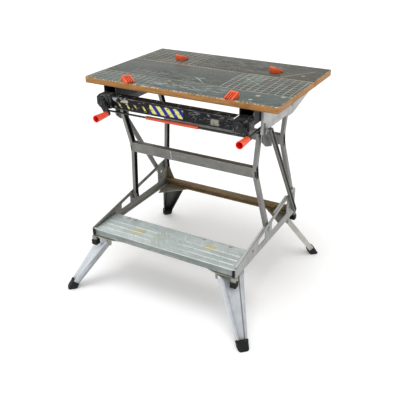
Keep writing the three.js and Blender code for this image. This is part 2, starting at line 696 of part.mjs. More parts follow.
function crossbar() {
  const end = LEG_X_WAIST - LEG_WIDTH / 2 - FIT;
  const front = block([-end, end], [legFront, legFront + LEG_WALL], [barLow, barHigh]);
  const back = [legFront, legFront + CROSSBAR_DEPTH];
  const topFlange = block([-end, end], back, [barHigh - LEG_WALL, barHigh]);
  const lowFlange = block([-end, end], back, [barLow, barLow + LEG_WALL]);
  return join(front, topFlange, lowFlange);
}

const legGeometry = frameLeg();
const crossbarGeometry = crossbar();
const frames = [
  { name: "front", foot: LOWER_PIVOT },
  { name: "rear", foot: rearLower },
];
frames.forEach(({ name, foot }) => {
  const stance = new THREE.Group();
  stance.position.set(0, foot.y, foot.z);
  stance.rotation.x = linkLean;
  placePair(stance, `${name}_frame_leg`, legGeometry, GREY_STEEL);
  place(stance, `${name}_crossbar`, crossbarGeometry, GREY_STEEL);
  bench.add(stance);
});

// Diagonal braces: channels open outwards, hinged on the arms and held at the top by the studs
const braceLength = Math.hypot(BRACE_HEAD.y - BRACE_FOOT.y, BRACE_HEAD.z - BRACE_FOOT.z);
const braceLean = Math.atan2(BRACE_FOOT.y - BRACE_HEAD.y, BRACE_HEAD.z - BRACE_FOOT.z);
const braceHalf = BRACE_WIDTH / 2;
const braceX = [BRACE_INNER_X, BRACE_INNER_X + BRACE_DEPTH];
const braceEnds = [-braceHalf, braceLength + braceHalf];
function braceShape(inset) {
  const half = braceHalf - inset;
  return outline([
    [-half, braceEnds[0] + inset, half * 0.8],
    [half, braceEnds[0] + inset, half * 0.8],
    [half, braceEnds[1] - inset, half * 0.8],
    [-half, braceEnds[1] - inset, half * 0.8],
  ]);
}
const brace = cut(
  plateX(braceShape(0), braceX),
  plateX(braceShape(BRACE_WALL), [braceX[0] + BRACE_WALL, braceX[1] + 1]),
  rodX(BRACE_PIN + RUN, [braceX[0] - 1, braceX[1] + 1], 0, 0),
);
const braceStance = new THREE.Group();
braceStance.position.set(0, BRACE_FOOT.y, BRACE_FOOT.z);
braceStance.rotation.x = braceLean;
placePair(braceStance, "brace", brace, DARK_STEEL);
bench.add(braceStance);

// Base arms: wedges that rise to the rear pivot, with two windows
const armTopSlope = (rearLower.z + ARM_TIP - ARM_NOSE) / (rearLower.y - ARM_FRONT);
const armTop = (y) => ARM_NOSE + (y - ARM_FRONT) * armTopSlope;
const railSlope = ARM_RAIL_RISE / (ARM_REAR - ARM_FRONT);
const railTop = (y) => BASE_LOW + ARM_RAIL + (y - ARM_FRONT) * railSlope;
const armShapeSide = outline([
  [ARM_FRONT, BASE_LOW],
  [ARM_REAR, BASE_LOW, ROUND_FINE],
  [ARM_REAR, rearLower.z + ARM_TIP * 0.6, ROUND_WIDE],
  [rearLower.y, rearLower.z + ARM_TIP, ROUND_WIDE],
  [ARM_FRONT, ARM_NOSE, ROUND_FINE],
]);

function armWindow(y0, y1) {
  return outline([
    [y0, railTop(y0), ROUND],
    [y1, railTop(y1), ROUND],
    [y1, armTop(y1) - ARM_RIM, ROUND],
    [y0, armTop(y0) - ARM_RIM, ROUND],
  ]);
}

// A turned edge along the arm, under a line of its outline
function armEdge(y0, y1, line) {
  const shape = outline([
    [y0, line(y0) - SHEET],
    [y1, line(y1) - SHEET],
    [y1, line(y1)],
    [y0, line(y0)],
  ]);
  return plateX(shape, [ARM_INNER_X - ARM_FLANGE, ARM_INNER_X + 1]);
}

const smallWindow = [LOWER_PIVOT.y - PIVOT_WEB - SMALL_WINDOW, LOWER_PIVOT.y - PIVOT_WEB];
const largeWindow = [LOWER_PIVOT.y + PIVOT_WEB, rearLower.y - REAR_WEB];
const throughArm = [ARM_INNER_X - ARM_FLANGE - 1, armOuter + 1];
const armWeb = cut(
  plateX(armShapeSide, [ARM_INNER_X, armOuter]),
  plateX(armWindow(...smallWindow), throughArm),
  plateX(armWindow(...largeWindow), throughArm),
  rodX(PIVOT_RADIUS + RUN, throughArm, LOWER_PIVOT.y, LOWER_PIVOT.z),
  rodX(PIVOT_RADIUS + RUN, throughArm, rearLower.y, rearLower.z),
);
const edgeFront = STEP_BACK + ARM_EDGE_FRONT;
const topEdgeFront = LOWER_PIVOT.y + ARM_EDGE_CLEAR;
const stretcherFront = ARM_REAR - STRETCHER_DEPTH;
const lowEdgeEnd = stretcherFront - FIT;
const braceHeadX = [braceX[0] + BRACE_WALL + FIT, braceX[0] + BRACE_WALL + FIT + PIN_HEAD];
const arm = join(
  armWeb,
  armEdge(edgeFront, lowEdgeEnd, () => BASE_LOW + SHEET),
  armEdge(STEP_FRONT + ARM_EDGE_FRONT, smallWindow[1], armTop),
  armEdge(topEdgeFront, largeWindow[1], armTop),
  rodX(BRACE_PIN, [armOuter - 1, braceHeadX[1]], BRACE_FOOT.y, BRACE_FOOT.z),
  rodX(BRACE_PIN_HEAD, braceHeadX, BRACE_FOOT.y, BRACE_FOOT.z),
);
placePair(bench, "base_arm", arm, GREY_STEEL);

// Lower pivot pins, headed on both sides of the arm and the leg
function pivotPin({ y, z }) {
  const legOuter = LEG_X_LOW + LEG_WIDTH / 2;
  const innerEnd = legOuter - LEG_WALL - RUN;
  const shank = rodX(PIVOT_RADIUS, [innerEnd - PIN_HEAD, armOuter + FIT + 1], y, z);
  const outerHead = rodX(PIN_HEAD_RADIUS, [armOuter + FIT, armOuter + FIT + PIN_HEAD], y, z);
  const innerHead = rodX(PIN_INNER_RADIUS, [innerEnd - PIN_HEAD, innerEnd], y, z);
  return join(shank, outerHead, innerHead);
}
placePair(bench, "front_pivot_pin", pivotPin(LOWER_PIVOT), BRIGHT_STEEL);
placePair(bench, "rear_pivot_pin", pivotPin(rearLower), BRIGHT_STEEL);

// Step tread between the arms: ribbed sheet with a lip at the front and the back
const stepX = [-ARM_INNER_X + FIT, ARM_INNER_X - FIT];
const stepMiddle = (STEP_FRONT + STEP_BACK) / 2 - STEP_RIB_SHIFT;
const ribY = Array.from(
  { length: STEP_RIBS },
  (_, i) => stepMiddle + (i - (STEP_RIBS - 1) / 2) * STEP_RIB_PITCH,
);
function stepRib(y) {
  const shape = outline([
    [y - STEP_RIB_WIDTH / 2, STEP_TOP - 1],
    [y + STEP_RIB_WIDTH / 2, STEP_TOP - 1],
    [y + STEP_RIB_WIDTH / 4, STEP_TOP + STEP_RIB_HEIGHT],
    [y - STEP_RIB_WIDTH / 4, STEP_TOP + STEP_RIB_HEIGHT],
  ]);
  return plateX(shape, STEP_RIB_X);
}
const stepShape = outline([
  [STEP_FRONT, STEP_TOP - STEP_LIP],
  [STEP_FRONT, STEP_TOP, ROUND_FINE],
  [STEP_BACK, STEP_TOP, ROUND_FINE],
  [STEP_BACK, STEP_TOP - STEP_LIP],
  [STEP_BACK - SHEET, STEP_TOP - STEP_LIP],
  [STEP_BACK - SHEET, STEP_TOP - SHEET],
  [STEP_FRONT + SHEET, STEP_TOP - SHEET],
  [STEP_FRONT + SHEET, STEP_TOP - STEP_LIP],
]);
const throughStep = [STEP_TOP - SHEET - 1, STEP_TOP + 1];
const holeY = STEP_BACK - STEP_HOLE_INSET;
const stepHole = (x) => rodZ(STEP_HOLE_RADIUS, throughStep, x, holeY, FEW_SIDES);
const rightRibs = join(...ribY.map(stepRib));
const ribbedStep = join(plateX(stepShape, stepX), rightRibs, mirrored(rightRibs));
place(bench, "step_tread", cut(ribbedStep, ...STEP_HOLES.map(stepHole)), GALVANISED);

// Corner caps in front of the ends of the step's lip
const capShape = outline([
  [stepX[1] - CAP_WIDTH, STEP_TOP - CAP_HEIGHT, ROUND_FINE],
  [stepX[1], STEP_TOP - CAP_HEIGHT, ROUND_FINE],
  [stepX[1], STEP_TOP, ROUND_FINE],
  [stepX[1] - CAP_WIDTH, STEP_TOP, ROUND_FINE],
]);
placePair(bench, "step_corner_cap", plateY(capShape, [STEP_FRONT - CAP_DEPTH, STEP_FRONT]), RUBBER);

// Rear stretcher: a channel open to the front, with a gusset up each arm's rear end
const stretcherEnd = ARM_INNER_X - FIT;
const stretcherHigh = BASE_LOW + STRETCHER_HEIGHT;
const gussetTop = stretcherHigh + GUSSET_HEIGHT;
const stretcherFace = outline([
  [-stretcherEnd, BASE_LOW],
  [stretcherEnd, BASE_LOW],
  [stretcherEnd, gussetTop],
  [stretcherEnd - GUSSET_TOP_WIDTH, gussetTop],
  [stretcherEnd - GUSSET_WIDTH, stretcherHigh, ROUND],
  [-stretcherEnd + GUSSET_WIDTH, stretcherHigh, ROUND],
  [-stretcherEnd + GUSSET_TOP_WIDTH, gussetTop],
  [-stretcherEnd, gussetTop],
]);
const flangeY = [stretcherFront, ARM_REAR - SHEET + 1];
const stretcherFlange = (z) => block([-stretcherEnd, stretcherEnd], flangeY, z);
const stretcher = join(
  plateY(stretcherFace, [ARM_REAR - SHEET, ARM_REAR]),
  stretcherFlange([BASE_LOW, BASE_LOW + SHEET]),
  stretcherFlange([stretcherHigh - SHEET, stretcherHigh]),
);
place(bench, "rear_stretcher", stretcher, DIRTY_STEEL);

// Corners, each in its own frame: x outward along the diagonal from the hinge, y along the hinge pin
const flipReach = Math.sqrt((FLIP_LENGTH + BOOT_HEIGHT) ** 2 - HINGE_Z ** 2);
const tilt = Math.atan2(flipReach, HINGE_Z);
const flipHalf = FLIP_TOP_WIDTH / 2;

// Section of a flip-down leg square to its length: a face with a pressed panel, and two flanges turned back
function flipRing(z, face) {
  const share = (FLIP_ABOVE - z) / (FLIP_ABOVE + FLIP_LENGTH);
  const half = THREE.MathUtils.lerp(FLIP_TOP_WIDTH, FLIP_LOW_WIDTH, share) / 2;
  const panel = THREE.MathUtils.lerp(PANEL_TOP_WIDTH, PANEL_LOW_WIDTH, share) / 2;
  const inner = face - FLIP_WALL;
  const edge = panel + PANEL_DEPTH;
  const above = [
    [face - PANEL_DEPTH, panel],
    [face, edge],
    [face, half],
    [-FLIP_BACK, half],
    [-FLIP_BACK, half - FLIP_WALL],
    [inner, half - FLIP_WALL],
    [inner, edge + 1],
    [inner - PANEL_DEPTH, panel + 1],
  ];
  const below = above.map(([x, y]) => [x, -y]).reverse();
  return [...above, ...below].map(([x, y]) => new THREE.Vector3(x, y, z));
}

const flipHole = rodY(HINGE_PIN + RUN, [-flipHalf - 1, flipHalf + 1], 0, 0, FEW_SIDES);
const flipRings = [
  flipRing(-FLIP_LENGTH, FLIP_FACE),
  flipRing(-FLIP_SHOULDER, FLIP_FACE),
  flipRing(FLIP_ABOVE, FLIP_TOP_FACE),
];
const flipLeg = cut(loft(flipRings), flipHole);

// Boots: flat on the floor, square to the leg at the top
function bootRing([x0, x1], width) {
  const half = width / 2;
  return [
    new THREE.Vector3(x0, -half, 0),
    new THREE.Vector3(x1, -half, 0),
    new THREE.Vector3(x1, half, 0),
    new THREE.Vector3(x0, half, 0),
  ];
}

const bootBase = bootRing([flipReach - BOOT_LENGTH / 2, flipReach + BOOT_LENGTH / 2], BOOT_WIDTH);
const bootRim = bootRing([-FLIP_BACK - BOOT_RIM, FLIP_FACE + BOOT_RIM], FLIP_LOW_WIDTH + 2 * BOOT_RIM);
bootRim.forEach((point) => {
  point.z = -FLIP_LENGTH - FIT;
  point.applyAxisAngle(new THREE.Vector3(0, 1, 0), -tilt);
  point.z += HINGE_Z;
});
const boot = loft([bootBase, bootRim]);

// Brackets: a plate under the base, two ears with the hinge pin between them, and the stem of the low foot
const earInner = flipHalf + EAR_GAP;
const earOuter = earInner + SHEET;
const lowFootTop = LOW_FOOT_Z + LOW_FOOT_HEIGHT;

function squarePost(width, z) {
  const half = width / 2;
  return block([-half, half], [-half, half], z).rotateZ(Math.PI / 4).translate(LOW_FOOT_OUT, 0, 0);
}

function cornerBracket() {
  const top = BASE_LOW - FIT;
  const low = top - SHEET;
  const plate = outline([
    [-BRACKET_BACK, -BRACKET_BACK_WIDTH / 2],
    [BRACKET_SHOULDER, -earOuter],
    [LOW_FOOT_OUT + BRACKET_TIP, 0, ROUND_FINE],
    [BRACKET_SHOULDER, earOuter],
    [-BRACKET_BACK, BRACKET_BACK_WIDTH / 2],
  ]);
  const ear = outline([
    [-EAR_LOW, HINGE_Z - EAR_LOW, ROUND],
    [EAR_REACH, HINGE_Z - EAR_LOW, ROUND],
    [EAR_REACH, HINGE_Z],
    [BRACKET_SHOULDER - 1, low + 1],
    [-EAR_LOW, low + 1],
  ]);
  return join(
    plateZ(plate, [low, top]),
    plateY(ear, [earInner, earOuter]),
    plateY(ear, [-earOuter, -earInner]),
    rodY(HINGE_PIN, [-earOuter, earOuter], 0, HINGE_Z, FEW_SIDES),
    squarePost(STEM_WIDTH, [lowFootTop + FIT, top]),
  );
}

const bracket = cornerBracket();
const lowFoot = squarePost(LOW_FOOT_WIDTH, [LOW_FOOT_Z, lowFootTop]);

const hingeX = ARM_INNER_X - HINGE_INSET;
const corners = [
  { name: "front_right", x: hingeX, y: -HINGE_Y, turn: -45 },
  { name: "front_left", x: -hingeX, y: -HINGE_Y, turn: -135 },
  { name: "rear_right", x: hingeX, y: HINGE_Y, turn: 45 },
  { name: "rear_left", x: -hingeX, y: HINGE_Y, turn: 135 },
];
corners.forEach(({ name, x, y, turn }) => {
  const corner = new THREE.Group();
  corner.position.set(x, y, 0);
  corner.rotation.z = THREE.MathUtils.degToRad(turn);
  place(corner, `corner_bracket_${name}`, bracket, GREY_STEEL);
  place(corner, `low_foot_${name}`, lowFoot, RUBBER);
  place(corner, `leg_boot_${name}`, boot, RUBBER);
  const leg = new THREE.Group();
  leg.position.z = HINGE_Z;
  leg.rotation.y = -tilt;
  place(leg, `flip_leg_${name}`, flipLeg, BRIGHT_STEEL);
  corner.add(leg);
  bench.add(corner);
});

export default bench;
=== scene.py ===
# Folding workbench: finishes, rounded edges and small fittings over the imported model. Metres, +Z up.
import json
import math

import bmesh
import bpy
from mathutils import Matrix, Quaternion, Vector
from mathutils.bvhtree import BVHTree

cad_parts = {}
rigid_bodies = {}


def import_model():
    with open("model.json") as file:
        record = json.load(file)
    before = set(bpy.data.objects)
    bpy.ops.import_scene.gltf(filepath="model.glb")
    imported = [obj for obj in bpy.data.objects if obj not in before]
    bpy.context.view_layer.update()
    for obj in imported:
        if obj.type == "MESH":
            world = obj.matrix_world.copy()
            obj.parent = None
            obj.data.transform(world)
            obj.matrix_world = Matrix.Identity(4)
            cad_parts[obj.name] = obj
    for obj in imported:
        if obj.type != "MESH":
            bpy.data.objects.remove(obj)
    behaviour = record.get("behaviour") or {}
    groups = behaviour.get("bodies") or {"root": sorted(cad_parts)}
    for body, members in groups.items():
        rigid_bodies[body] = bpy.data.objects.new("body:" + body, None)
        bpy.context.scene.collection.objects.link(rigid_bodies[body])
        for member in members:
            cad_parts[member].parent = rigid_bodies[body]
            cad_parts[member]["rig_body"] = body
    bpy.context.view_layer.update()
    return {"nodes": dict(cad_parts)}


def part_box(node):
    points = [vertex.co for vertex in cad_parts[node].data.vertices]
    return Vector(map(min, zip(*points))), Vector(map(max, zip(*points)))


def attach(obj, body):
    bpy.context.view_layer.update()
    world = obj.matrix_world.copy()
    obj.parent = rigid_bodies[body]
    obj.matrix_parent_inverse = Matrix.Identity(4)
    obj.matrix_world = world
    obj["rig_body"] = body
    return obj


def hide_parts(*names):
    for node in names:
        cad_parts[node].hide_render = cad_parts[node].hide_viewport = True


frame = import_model()

# Camera of the photograph
CAMERA_PLACE = (0.9881, -1.7535, 1.3401)
CAMERA_AZIMUTH = 29.176
CAMERA_ELEVATION = 26.968
CAMERA_ROLL = -0.106
CAMERA_LENS = 52.62
CAMERA_SENSOR = 36

# Light
DOME = 0.7
KEY_STRENGTH = 1.05
KEY_ANGLE = 28
KEY_FROM = (0.02, -0.22, 0.97)
FLOOR_SIZE = 30
FLOOR_COLOUR = (254, 254, 254)
FLOOR_GLOW = 0.14

# Heights and places of the boards that the finishes follow
BOARD_TOP = 0.790
BOARD_UNDER = 0.769
BOARD_FRONT = -0.162
REAR_SEAM = 0.1545
FRONT_SEAM = -0.0445
RULE_START = 0.108
RULE_PITCH = 0.025
RULE_WIDTH = 0.0024
SIDES = ("right", "left")
CORNERS = ("front_right", "front_left", "rear_right", "rear_left")


def linear(red, green, blue):
    """A screen colour from 0 to 255 as the linear colour that shaders use."""

    def channel(value):
        share = value / 255
        if share <= 0.04045:
            return share / 12.92
        return ((share + 0.055) / 1.055) ** 2.4

    return (channel(red), channel(green), channel(blue), 1.0)


# Shader arithmetic


class Wire:
    """A socket of a node tree, with operators that add Math nodes."""

    def __init__(self, tree, socket):
        self.tree = tree
        self.socket = socket

    def math(self, operation, *values):
        return self.tree.node("ShaderNodeMath", {"operation": operation}, dict(enumerate(values)))

    def __add__(self, other):
        return self.math("ADD", self, other)

    def __radd__(self, other):
        return self.math("ADD", other, self)

    def __sub__(self, other):
        return self.math("SUBTRACT", self, other)

    def __rsub__(self, other):
        return self.math("SUBTRACT", other, self)

    def __mul__(self, other):
        return self.math("MULTIPLY", self, other)

    def __rmul__(self, other):
        return self.math("MULTIPLY", other, self)

    def __or__(self, other):
        return self.math("MAXIMUM", self, other)


class Tree:
    """A node tree that is filled by calls."""

    def __init__(self, tree):
        self.nodes = tree.nodes
        self.links = tree.links
        self.nodes.clear()

    def node(self, kind, settings=None, values=None, output=0):
        made = self.nodes.new(kind)
        for key, value in (settings or {}).items():
            if key == "stops":
                self.set_stops(made.color_ramp, value)
            else:
                setattr(made, key, value)
        self.feed(made, values or {})
        return Wire(self, made.outputs[output])

    def feed(self, made, values):
        for key, value in values.items():
            if isinstance(value, Wire):
                self.links.new(value.socket, made.inputs[key])
            else:
                made.inputs[key].default_value = value

    def set_stops(self, ramp, stops):
        while len(ramp.elements) < len(stops):
            ramp.elements.new(1)
        for element, (position, colour) in zip(ramp.elements, stops):
            element.position = position
            element.color = colour


class Finish(Tree):
    """A material with one Principled shader, in the object's own metres."""

    def __init__(self, name):
        self.material = bpy.data.materials.new(name)
        self.material.use_nodes = True
        super().__init__(self.material.node_tree)
        self.shader = self.nodes.new("ShaderNodeBsdfPrincipled")
        surface = self.nodes.new("ShaderNodeOutputMaterial")
        self.links.new(self.shader.outputs[0], surface.inputs[0])
        self.place = self.node("ShaderNodeTexCoord", output="Object")
        self.x = self.node("ShaderNodeSeparateXYZ", values={0: self.place}, output=0)
        self.y = self.node("ShaderNodeSeparateXYZ", values={0: self.place}, output=1)
        self.z = self.node("ShaderNodeSeparateXYZ", values={0: self.place}, output=2)

    def stretched(self, scale):
        return self.node("ShaderNodeVectorMath", {"operation": "MULTIPLY"}, {0: self.place, 1: scale})

    def noise(self, scale, detail=4.0, roughness=0.55, distortion=0.0):
        """Noise from 0 to 1. The scale is one number, or three for noise that is drawn out."""
        size = scale if isinstance(scale, tuple) else (scale, scale, scale)
        values = {
            "Vector": self.stretched(size),
            "Scale": 1.0,
            "Detail": detail,
            "Roughness": roughness,
            "Distortion": distortion,
        }
        return self.node("ShaderNodeTexNoise", values=values)

    def cells(self, scale, feature="F1", output="Distance"):
        size = scale if isinstance(scale, tuple) else (scale, scale, scale)
        values = {"Vector": self.stretched(size), "Scale": 1.0}
        return self.node("ShaderNodeTexVoronoi", {"feature": feature}, values, output)

    def rise(self, value, low, high):
        """0 below low, 1 above high, smooth between."""
        values = {"Value": value, "From Min": low, "From Max": high}
        return self.node("ShaderNodeMapRange", {"interpolation_type": "SMOOTHSTEP"}, values)

    def within(self, value, low, high, soft):
        return self.rise(value, low - soft, low + soft) * (1 - self.rise(value, high - soft, high + soft))

    def area(self, x, y, soft, names="xy"):
        first = getattr(self, names[0])
        second = getattr(self, names[1])
        return self.within(first, *x, soft) * self.within(second, *y, soft)

    def lines(self, value, pitch, width):
        """1 on thin lines at every multiple of the pitch."""
        away = value.math("PINGPONG", value, pitch / 2)
        return 1 - self.rise(away, width * 0.4, width * 0.8)

    def stroke(self, start, end, width):
        """1 on a straight stroke from one point of a level face to another."""
        length = math.dist(start, end)
        cosine = (end[0] - start[0]) / length
        sine = (end[1] - start[1]) / length
        along = (self.x - start[0]) * cosine + (self.y - start[1]) * sine
        off = (self.y - start[1]) * cosine - (self.x - start[0]) * sine
        away = off.math("ABSOLUTE", off)
        return self.within(along, 0, length, width) * (1 - self.rise(away, width * 0.3, width * 0.7))

    def spot(self, x, y, radius):
        across = self.x - x
        up = self.y - y
        square = across * across + up * up
        return 1 - self.rise(square.math("SQRT", square), radius * 0.5, radius)

    def scratches(self, angle, scale, low):
        """Thin scuffs that run one way over a level face."""
        settings = {"rotation_type": "Z_AXIS"}
        values = {"Vector": self.place, "Angle": math.radians(angle)}
        swung = self.node("ShaderNodeVectorRotate", settings, values)
        drawn = self.node("ShaderNodeVectorMath", {"operation": "MULTIPLY"}, {0: swung, 1: scale})
        values = {"Vector": drawn, "Scale": 1.0, "Detail": 3.0, "Distortion": 0.4}
        noise = self.node("ShaderNodeTexNoise", values=values)
        return self.rise(noise, low, low + 0.05)

    def mix(self, share, first, second):
        settings = {"data_type": "RGBA"}
        return self.node("ShaderNodeMix", settings, {0: share, 6: first, 7: second}, 2)

    def finish(self, colour, roughness, metallic=0.0, bump=None, depth=0.0005, **constants):
        values = {"Base Color": colour, "Roughness": roughness, "Metallic": metallic}
        if bump is not None:
            relief = {"Height": bump, "Distance": depth, "Strength": 1.0}
            values["Normal"] = self.node("ShaderNodeBump", values=relief)
        values.update(constants)
        self.feed(self.shader, values)
        return self.material


# Finishes


def board_finish():
    """Grey printed face with ruled squares, over a plywood edge."""
    f = Finish("board_grey_over_ply")
    face = f.rise(f.z, BOARD_TOP - 0.0009, BOARD_TOP - 0.0004)
    under = 1 - f.rise(f.z, BOARD_UNDER + 0.0002, BOARD_UNDER + 0.0008)
    cloud = f.noise(6.0, 5.0, 0.62)
    grime = f.noise((12.0, 26.0, 14.0), 6.0, 0.65, 0.6)
    speck = f.noise(190.0, 3.0, 0.6)
    wear = f.rise(f.noise(13.0, 5.0, 0.6), 0.34, 0.6)

    # Grey face: bluish at the front, browner on the rear board
    rear = f.rise(f.y, REAR_SEAM - 0.001, REAR_SEAM + 0.001)
    front = 1 - f.rise(f.y, FRONT_SEAM - 0.02, FRONT_SEAM + 0.06)
    grey = f.mix(front, linear(80, 84, 79), linear(80, 91, 88))
    grey = f.mix(rear, grey, linear(80, 79, 72))
    grey = f.mix(f.rise(cloud, 0.44, 0.7) * 0.6, grey, linear(58, 60, 56))
    grey = f.mix(f.rise(grime, 0.5, 0.78) * 0.4, grey, linear(122, 119, 106))
    grey = f.mix(f.rise(speck, 0.58, 0.7) * 0.35, grey, linear(154, 153, 144))

    # Ruled squares in three areas, worn away in places
    aside = f.x.math("ABSOLUTE", f.x)
    columns = f.lines(aside - RULE_START, RULE_PITCH, RULE_WIDTH)
    rows = f.lines(f.y - REAR_SEAM, RULE_PITCH, RULE_WIDTH)
    rear_left = f.area((-0.36, -RULE_START), (0.16, 0.338), 0.002)
    front_left = f.area((-0.36, -RULE_START), (-0.15, -0.05), 0.002)
    right = f.area((RULE_START - 0.002, 0.36), (FRONT_SEAM, REAR_SEAM), 0.002)
    faint = f.area((-0.28, -0.13), (-0.025, 0.025), 0.004) * 0.5
    ruled = (columns | rows * 0.85) * (rear_left * 0.85 | front_left | right | faint)
    ruled = ruled * (0.4 + wear * 0.6)
    grey = f.mix(ruled * 0.85, grey, linear(188, 188, 174))
    ticks = f.lines(f.x, RULE_PITCH / 2, RULE_WIDTH)
    ticks = ticks * f.within(f.y, BOARD_FRONT, BOARD_FRONT + 0.009, 0.001)
    seam_ticks = f.lines(f.x, RULE_PITCH / 2, RULE_WIDTH * 1.6)
    seam_ticks = seam_ticks * f.within(f.y, REAR_SEAM - 0.007, REAR_SEAM, 0.001)
    grey = f.mix((ticks | seam_ticks) * (0.3 + wear * 0.6), grey, linear(186, 184, 168))

    # Green guide strokes and pale slanting ones
    glow = f.area((0.155, 0.215), (0.03, 0.15), 0.02) * wear
    grey = f.mix(glow * 0.4, grey, linear(122, 146, 136))
    guides = f.stroke((0.15, 0.02), (0.215, 0.118), 0.003) | f.stroke((0.145, 0.095), (0.222, 0.036), 0.003)
    star = f.stroke((-0.02, 0.022), (0.02, -0.012), 0.004) | f.stroke((-0.016, -0.012), (0.016, 0.026), 0.004)
    grey = f.mix((guides | star) * (0.45 + wear * 0.4), grey, linear(168, 206, 194))
    slants = f.stroke((0.245, 0.165), (0.33, 0.292), 0.004) | f.stroke((0.062, -0.072), (0.1, -0.042), 0.006)
    slants = slants | f.stroke((0.005, 0.0), (0.042, -0.034), 0.003)
    grey = f.mix(slants * (0.3 + wear * 0.5), grey, linear(190, 188, 172))

    # Scuffs, pale scrapes at the front, and tan drips
    scuffs = f.scratches(24, (11.0, 230.0, 20.0), 0.61) | f.scratches(-38, (9.0, 260.0, 20.0), 0.63)
    scuffs = scuffs | f.scratches(80, (13.0, 280.0, 20.0), 0.64) | f.scratches(4, (7.0, 240.0, 20.0), 0.62)
    scuffs = scuffs * (0.25 + f.rise(cloud, 0.38, 0.6) * 0.75)
    grey = f.mix(scuffs * 0.45, grey, linear(172, 171, 160))
    scrape = f.rise(f.noise((24.0, 80.0, 30.0), 6.0, 0.7, 1.2), 0.46, 0.64)
    worn_front = f.area((-0.11, 0.105), (-0.128, -0.085), 0.02)
    worn_front = worn_front | f.area((0.118, 0.158), (-0.13, -0.05), 0.02) * 0.7
    worn_rear = f.area((-0.12, 0.2), (0.25, 0.31), 0.05) * 0.45
    grey = f.mix(scrape * (worn_front | worn_rear), grey, linear(176, 182, 176))
    drips = f.spot(-0.075, -0.066, 0.009) | f.spot(0.146, 0.141, 0.009) | f.spot(0.267, -0.016, 0.006)
    drips = drips | f.spot(0.31, 0.215, 0.01)
    grey = f.mix(drips * f.rise(grime, 0.3, 0.5) * 0.7, grey, linear(196, 150, 122))
    pale_spots = f.spot(0.266, -0.079, 0.011) | f.spot(0.343, -0.056, 0.011) | f.spot(0.262, -0.128, 0.009)
    grey = f.mix(pale_spots * f.rise(grime, 0.3, 0.5) * 0.75, grey, linear(198, 192, 168))

    # Pale seam edges and chipped rims
    rear_seam = f.within(f.y, REAR_SEAM - 0.003, REAR_SEAM + 0.0022, 0.0007)
    front_seam = f.within(f.y, FRONT_SEAM - 0.0018, FRONT_SEAM + 0.0018, 0.0005)
    grey = f.mix(rear_seam * (0.35 + wear * 0.55), grey, linear(184, 170, 136))
    grey = f.mix(front_seam * (0.45 + wear * 0.5), grey, linear(182, 178, 158))
    chips = f.rise(f.noise(150.0, 3.0, 0.6), 0.5, 0.58)
    rim = 1 - f.rise(f.y, BOARD_FRONT + 0.0015, BOARD_FRONT + 0.006)
    side_rim = f.rise(aside, 0.3645, 0.3675)
    grey = f.mix(chips * (rim | side_rim * 0.6) * 0.9, grey, linear(214, 200, 172))

    # Plywood edge and bare underside
    grain = f.noise((18.0, 18.0, 260.0), 4.0, 0.6, 0.4)
    fibre = f.noise((420.0, 420.0, 60.0), 3.0, 0.6)
    ply = f.mix(f.rise(grain, 0.35, 0.65), linear(188, 136, 78), linear(160, 110, 60))
    ply = f.mix(f.rise(fibre, 0.45, 0.7) * 0.4, ply, linear(204, 156, 98))
    stain = f.rise(f.noise(16.0, 5.0, 0.65), 0.54, 0.74)
    ply = f.mix(stain * 0.55, ply, linear(122, 84, 46))
    burn = 1 - f.rise(f.z, BOARD_UNDER + 0.001, BOARD_UNDER + 0.005)
    ply = f.mix(burn * 0.35, ply, linear(110, 76, 42))
    high = f.rise(f.z, BOARD_TOP - 0.0035, BOARD_TOP - 0.001)
    ply = f.mix(high * chips * 0.85, ply, linear(222, 208, 182))
    boards = f.rise(f.noise((6.0, 60.0, 6.0), 5.0, 0.6, 0.5), 0.4, 0.62)
    below = f.mix(boards, linear(150, 110, 66), linear(122, 86, 48))
    body = f.mix(under, ply, below)
    colour = f.mix(face, body, grey)
    rough = 0.62 + (cloud - 0.5) * 0.25 - face * 0.06 - f.rise(speck, 0.5, 0.7) * 0.08
    dents = f.noise(60.0, 5.0, 0.6) * 0.6 + fibre * 0.4 - ruled * face * 0.2 - scuffs * face * 0.4
    return f.finish(colour, rough, 0.0, dents, 0.0006, **{"Specular IOR Level": 0.25})


BROWN_DIRT = (92, 84, 70)


def worn_steel(name, tone, metallic=0.25, roughness=0.5, dirt=BROWN_DIRT, dirty=0.3, scuffed=0.3, places=()):
    """Smooth grey steel, rubbed and scratched, with dirt in patches. Places are (tone, mask) pairs."""
    f = Finish(name)
    light = linear(*(channel * 1.06 for channel in tone))
    dark = linear(*(channel * 0.9 for channel in tone))
    broad = f.noise(5.0, 4.0, 0.55)
    cloud = f.noise(14.0, 6.0, 0.62)
    pits = f.noise(260.0, 3.0, 0.6)
    rub = f.noise((46.0, 46.0, 12.0), 5.0, 0.6, 0.3)
    scratch = f.rise(f.noise((22.0, 320.0, 320.0), 2.0, 0.5, 1.0), 0.66, 0.71)
    colour = f.mix(f.rise(broad * 0.6 + rub * 0.4, 0.36, 0.64), dark, light)
    for place_tone, mask in places:
        colour = f.mix(mask(f) * (0.8 + rub * 0.3), colour, linear(*place_tone))
    soiled = f.rise(cloud, 0.52, 0.76) * f.rise(pits, 0.3, 0.6)
    colour = f.mix(soiled * dirty, colour, linear(*dirt))
    bright = scratch | f.rise(pits, 0.67, 0.73) * 0.6
    colour = f.mix(bright * scuffed, colour, linear(214, 214, 208))
    rough = roughness + (cloud - 0.5) * 0.25 + soiled * 0.15 - scratch * 0.1
    relief = pits * 0.5 + cloud * 0.3 - scratch * 0.3
    return f.finish(colour, rough, metallic, relief, 0.0003)


def beyond(limit):
    """A mask of what lies further than the limit from the middle, to both sides."""
    return lambda f: f.rise(f.x.math("ABSOLUTE", f.x), limit - 0.0003, limit + 0.0003)


def nearer(limit):
    return lambda f: 1 - beyond(limit)(f)


